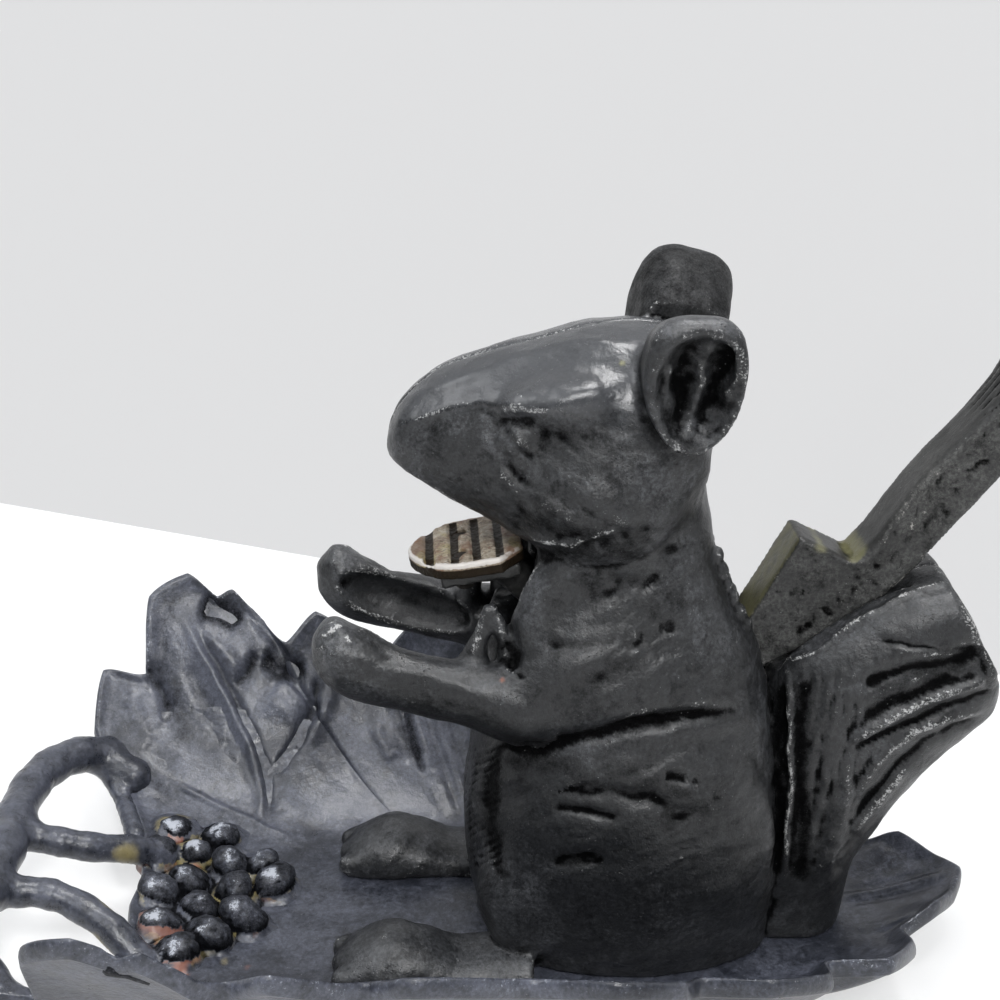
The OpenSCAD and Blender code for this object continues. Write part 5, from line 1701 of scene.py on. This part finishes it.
def make_stage():
    a, b = on_floor(0, 503), on_floor(390, 570)
    along = (b - a) / np.linalg.norm(b - a)
    p, q = a - along * 1500, a + along * 2600
    front = np.array([0, -1800.0, 0])
    white = plain("table_white", (0.80, 0.80, 0.80), (0.985, 0.985, 0.985), 0.55)
    sheet_of("table", [p + front, q + front, q - front, p - front], white)
    up = np.array([0, 0, 1800.0])
    grey = plain("wall_grey", (0.62, 0.62, 0.63), (0.742, 0.745, 0.752), 0.92)
    sheet_of("wall", [p, q, q + up, p + up], grey)


def lamp(name, at, aim, size, size_y, power, colour=(1, 1, 1)):
    data = bpy.data.lights.new(name, "AREA")
    data.shape = "RECTANGLE"
    data.size, data.size_y = size, size_y
    data.energy = power
    data.color = colour
    o = in_scene(name, data)
    o.location = Vector(at)
    o.rotation_euler = (Vector(aim) - Vector(at)).to_track_quat("-Z", "Y").to_euler()


def make_light():
    w = bpy.data.worlds.new("room")
    bpy.context.scene.world = w
    w.use_nodes = True
    t = w.node_tree
    bg = t.nodes["Background"]
    # brighter overhead, dimmer from the floor up to eye level
    place = t.nodes.new("ShaderNodeTexCoord").outputs["Generated"]
    axes = t.nodes.new("ShaderNodeSeparateXYZ")
    t.links.new(place, axes.inputs[0])
    ramp = t.nodes.new("ShaderNodeMapRange")
    ramp.interpolation_type = "SMOOTHSTEP"
    for key, val in (("From Min", -0.1), ("From Max", 0.9), ("To Min", 0.14), ("To Max", 0.9)):
        ramp.inputs[key].default_value = val
    t.links.new(axes.outputs["Z"], ramp.inputs["Value"])
    shown = t.nodes.new("ShaderNodeMix")         # an even grey where the camera looks past the stage
    t.links.new(t.nodes.new("ShaderNodeLightPath").outputs["Is Camera Ray"], shown.inputs["Factor"])
    t.links.new(ramp.outputs["Result"], shown.inputs[2])
    shown.inputs[3].default_value = 0.78
    t.links.new(shown.outputs[0], bg.inputs["Strength"])
    bg.inputs["Color"].default_value = (0.92, 0.96, 1.0, 1)
    lamp("window", (-0.65, -0.30, 0.95), (0, 0, 0.08), 0.8, 0.6, 4.8, (0.97, 0.98, 1.0))
    lamp("ceiling", (0.16, 0.06, 0.95), (0.02, 0, 0.10), 0.34, 0.22, 6.5)
    lamp("side", (0.80, -0.10, 0.45), (0.05, 0, 0.08), 0.25, 0.4, 1.4)
    lamp("front", (0.12, -0.77, 0.78), (0.016, -0.015, 0.135), 0.14, 0.26, 6.5)


SENSOR = 36.0


def make_camera():
    cam = bpy.data.cameras.new("photo")
    cam.sensor_fit = "HORIZONTAL"
    cam.sensor_width = SENSOR
    cam.lens = SENSOR * FOCUS / (2 * MIDDLE)
    cam.clip_start = 0.01
    cam.clip_end = 20
    o = in_scene("photo", cam)
    o.location = Vector(EYE * MM)
    o.rotation_euler = (Vector(AIM) - Vector(EYE)).to_track_quat("-Z", "Y").to_euler()
    bpy.context.scene.camera = o


# ---- everything -------------------------------------------------------------

bpy.context.scene.view_settings.view_transform = "Standard"
make_camera()
make_light()
make_stage()

RUST, OLIVE = ("rust", (0.20, 0.065, 0.03), 0.85), ("olive", (0.23, 0.22, 0.10), 0.8)
figure_mat = japan("japan_figure", (0.009, 0.0095, 0.0105), (0.040, 0.0415, 0.045), gloss=0.24,
                   tints=(OLIVE, RUST))
lever_mat = japan("japan_lever", (0.012, 0.012, 0.0115), (0.046, 0.046, 0.0435), worn=(0.33, 0.32, 0.30),
                  gloss=0.38, speck=1.6, pit=1.4,
                  tints=(("olive", (0.115, 0.110, 0.055), 0.85), RUST))
tray_mat = japan("japan_tray", (0.017, 0.019, 0.026), (0.070, 0.075, 0.096), worn=(0.36, 0.38, 0.42),
                 gloss=0.27, speck=1.2, pit=0.5, dusting=0.04,
                 tints=(("olive", (0.24, 0.20, 0.09), 0.75), ("rust", (0.20, 0.075, 0.045), 0.8)))
jaw_mat = bare_iron("bare_jaw_iron")
pin_mat = steel("pivot_steel", (0.35, 0.35, 0.36), (0.16, 0.07, 0.035))
screw_mat = steel("screw_steel", (0.22, 0.22, 0.23), (0.15, 0.065, 0.03), 0.42)
rivet_mat = steel("rivet_iron", (0.05, 0.045, 0.04), (0.06, 0.03, 0.02), 0.6)

for piece, node in make_figure(figure_mat):
    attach(piece, "figure")
    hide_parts(node)

lever = make_lever(lever_mat)
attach(lever, "lever")
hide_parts("tail_lever")

jaw = make_jaw(jaw_mat)
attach(jaw, "lever")
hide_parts("jaw_plate")

blade, leaf = make_leaf(tray_mat)
for piece in (blade, make_vine(tray_mat, leaf), make_pad(tray_mat)):
    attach(piece, "figure")
    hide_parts("leaf_tray")

for name, mat in (("pivot_pin", pin_mat), ("body_screws", screw_mat), ("base_screws", screw_mat),
                  ("jaw_rivets", rivet_mat)):
    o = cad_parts[name]
    for slot in o.material_slots:
        slot.material = mat
    if not o.material_slots:
        o.data.materials.append(mat)
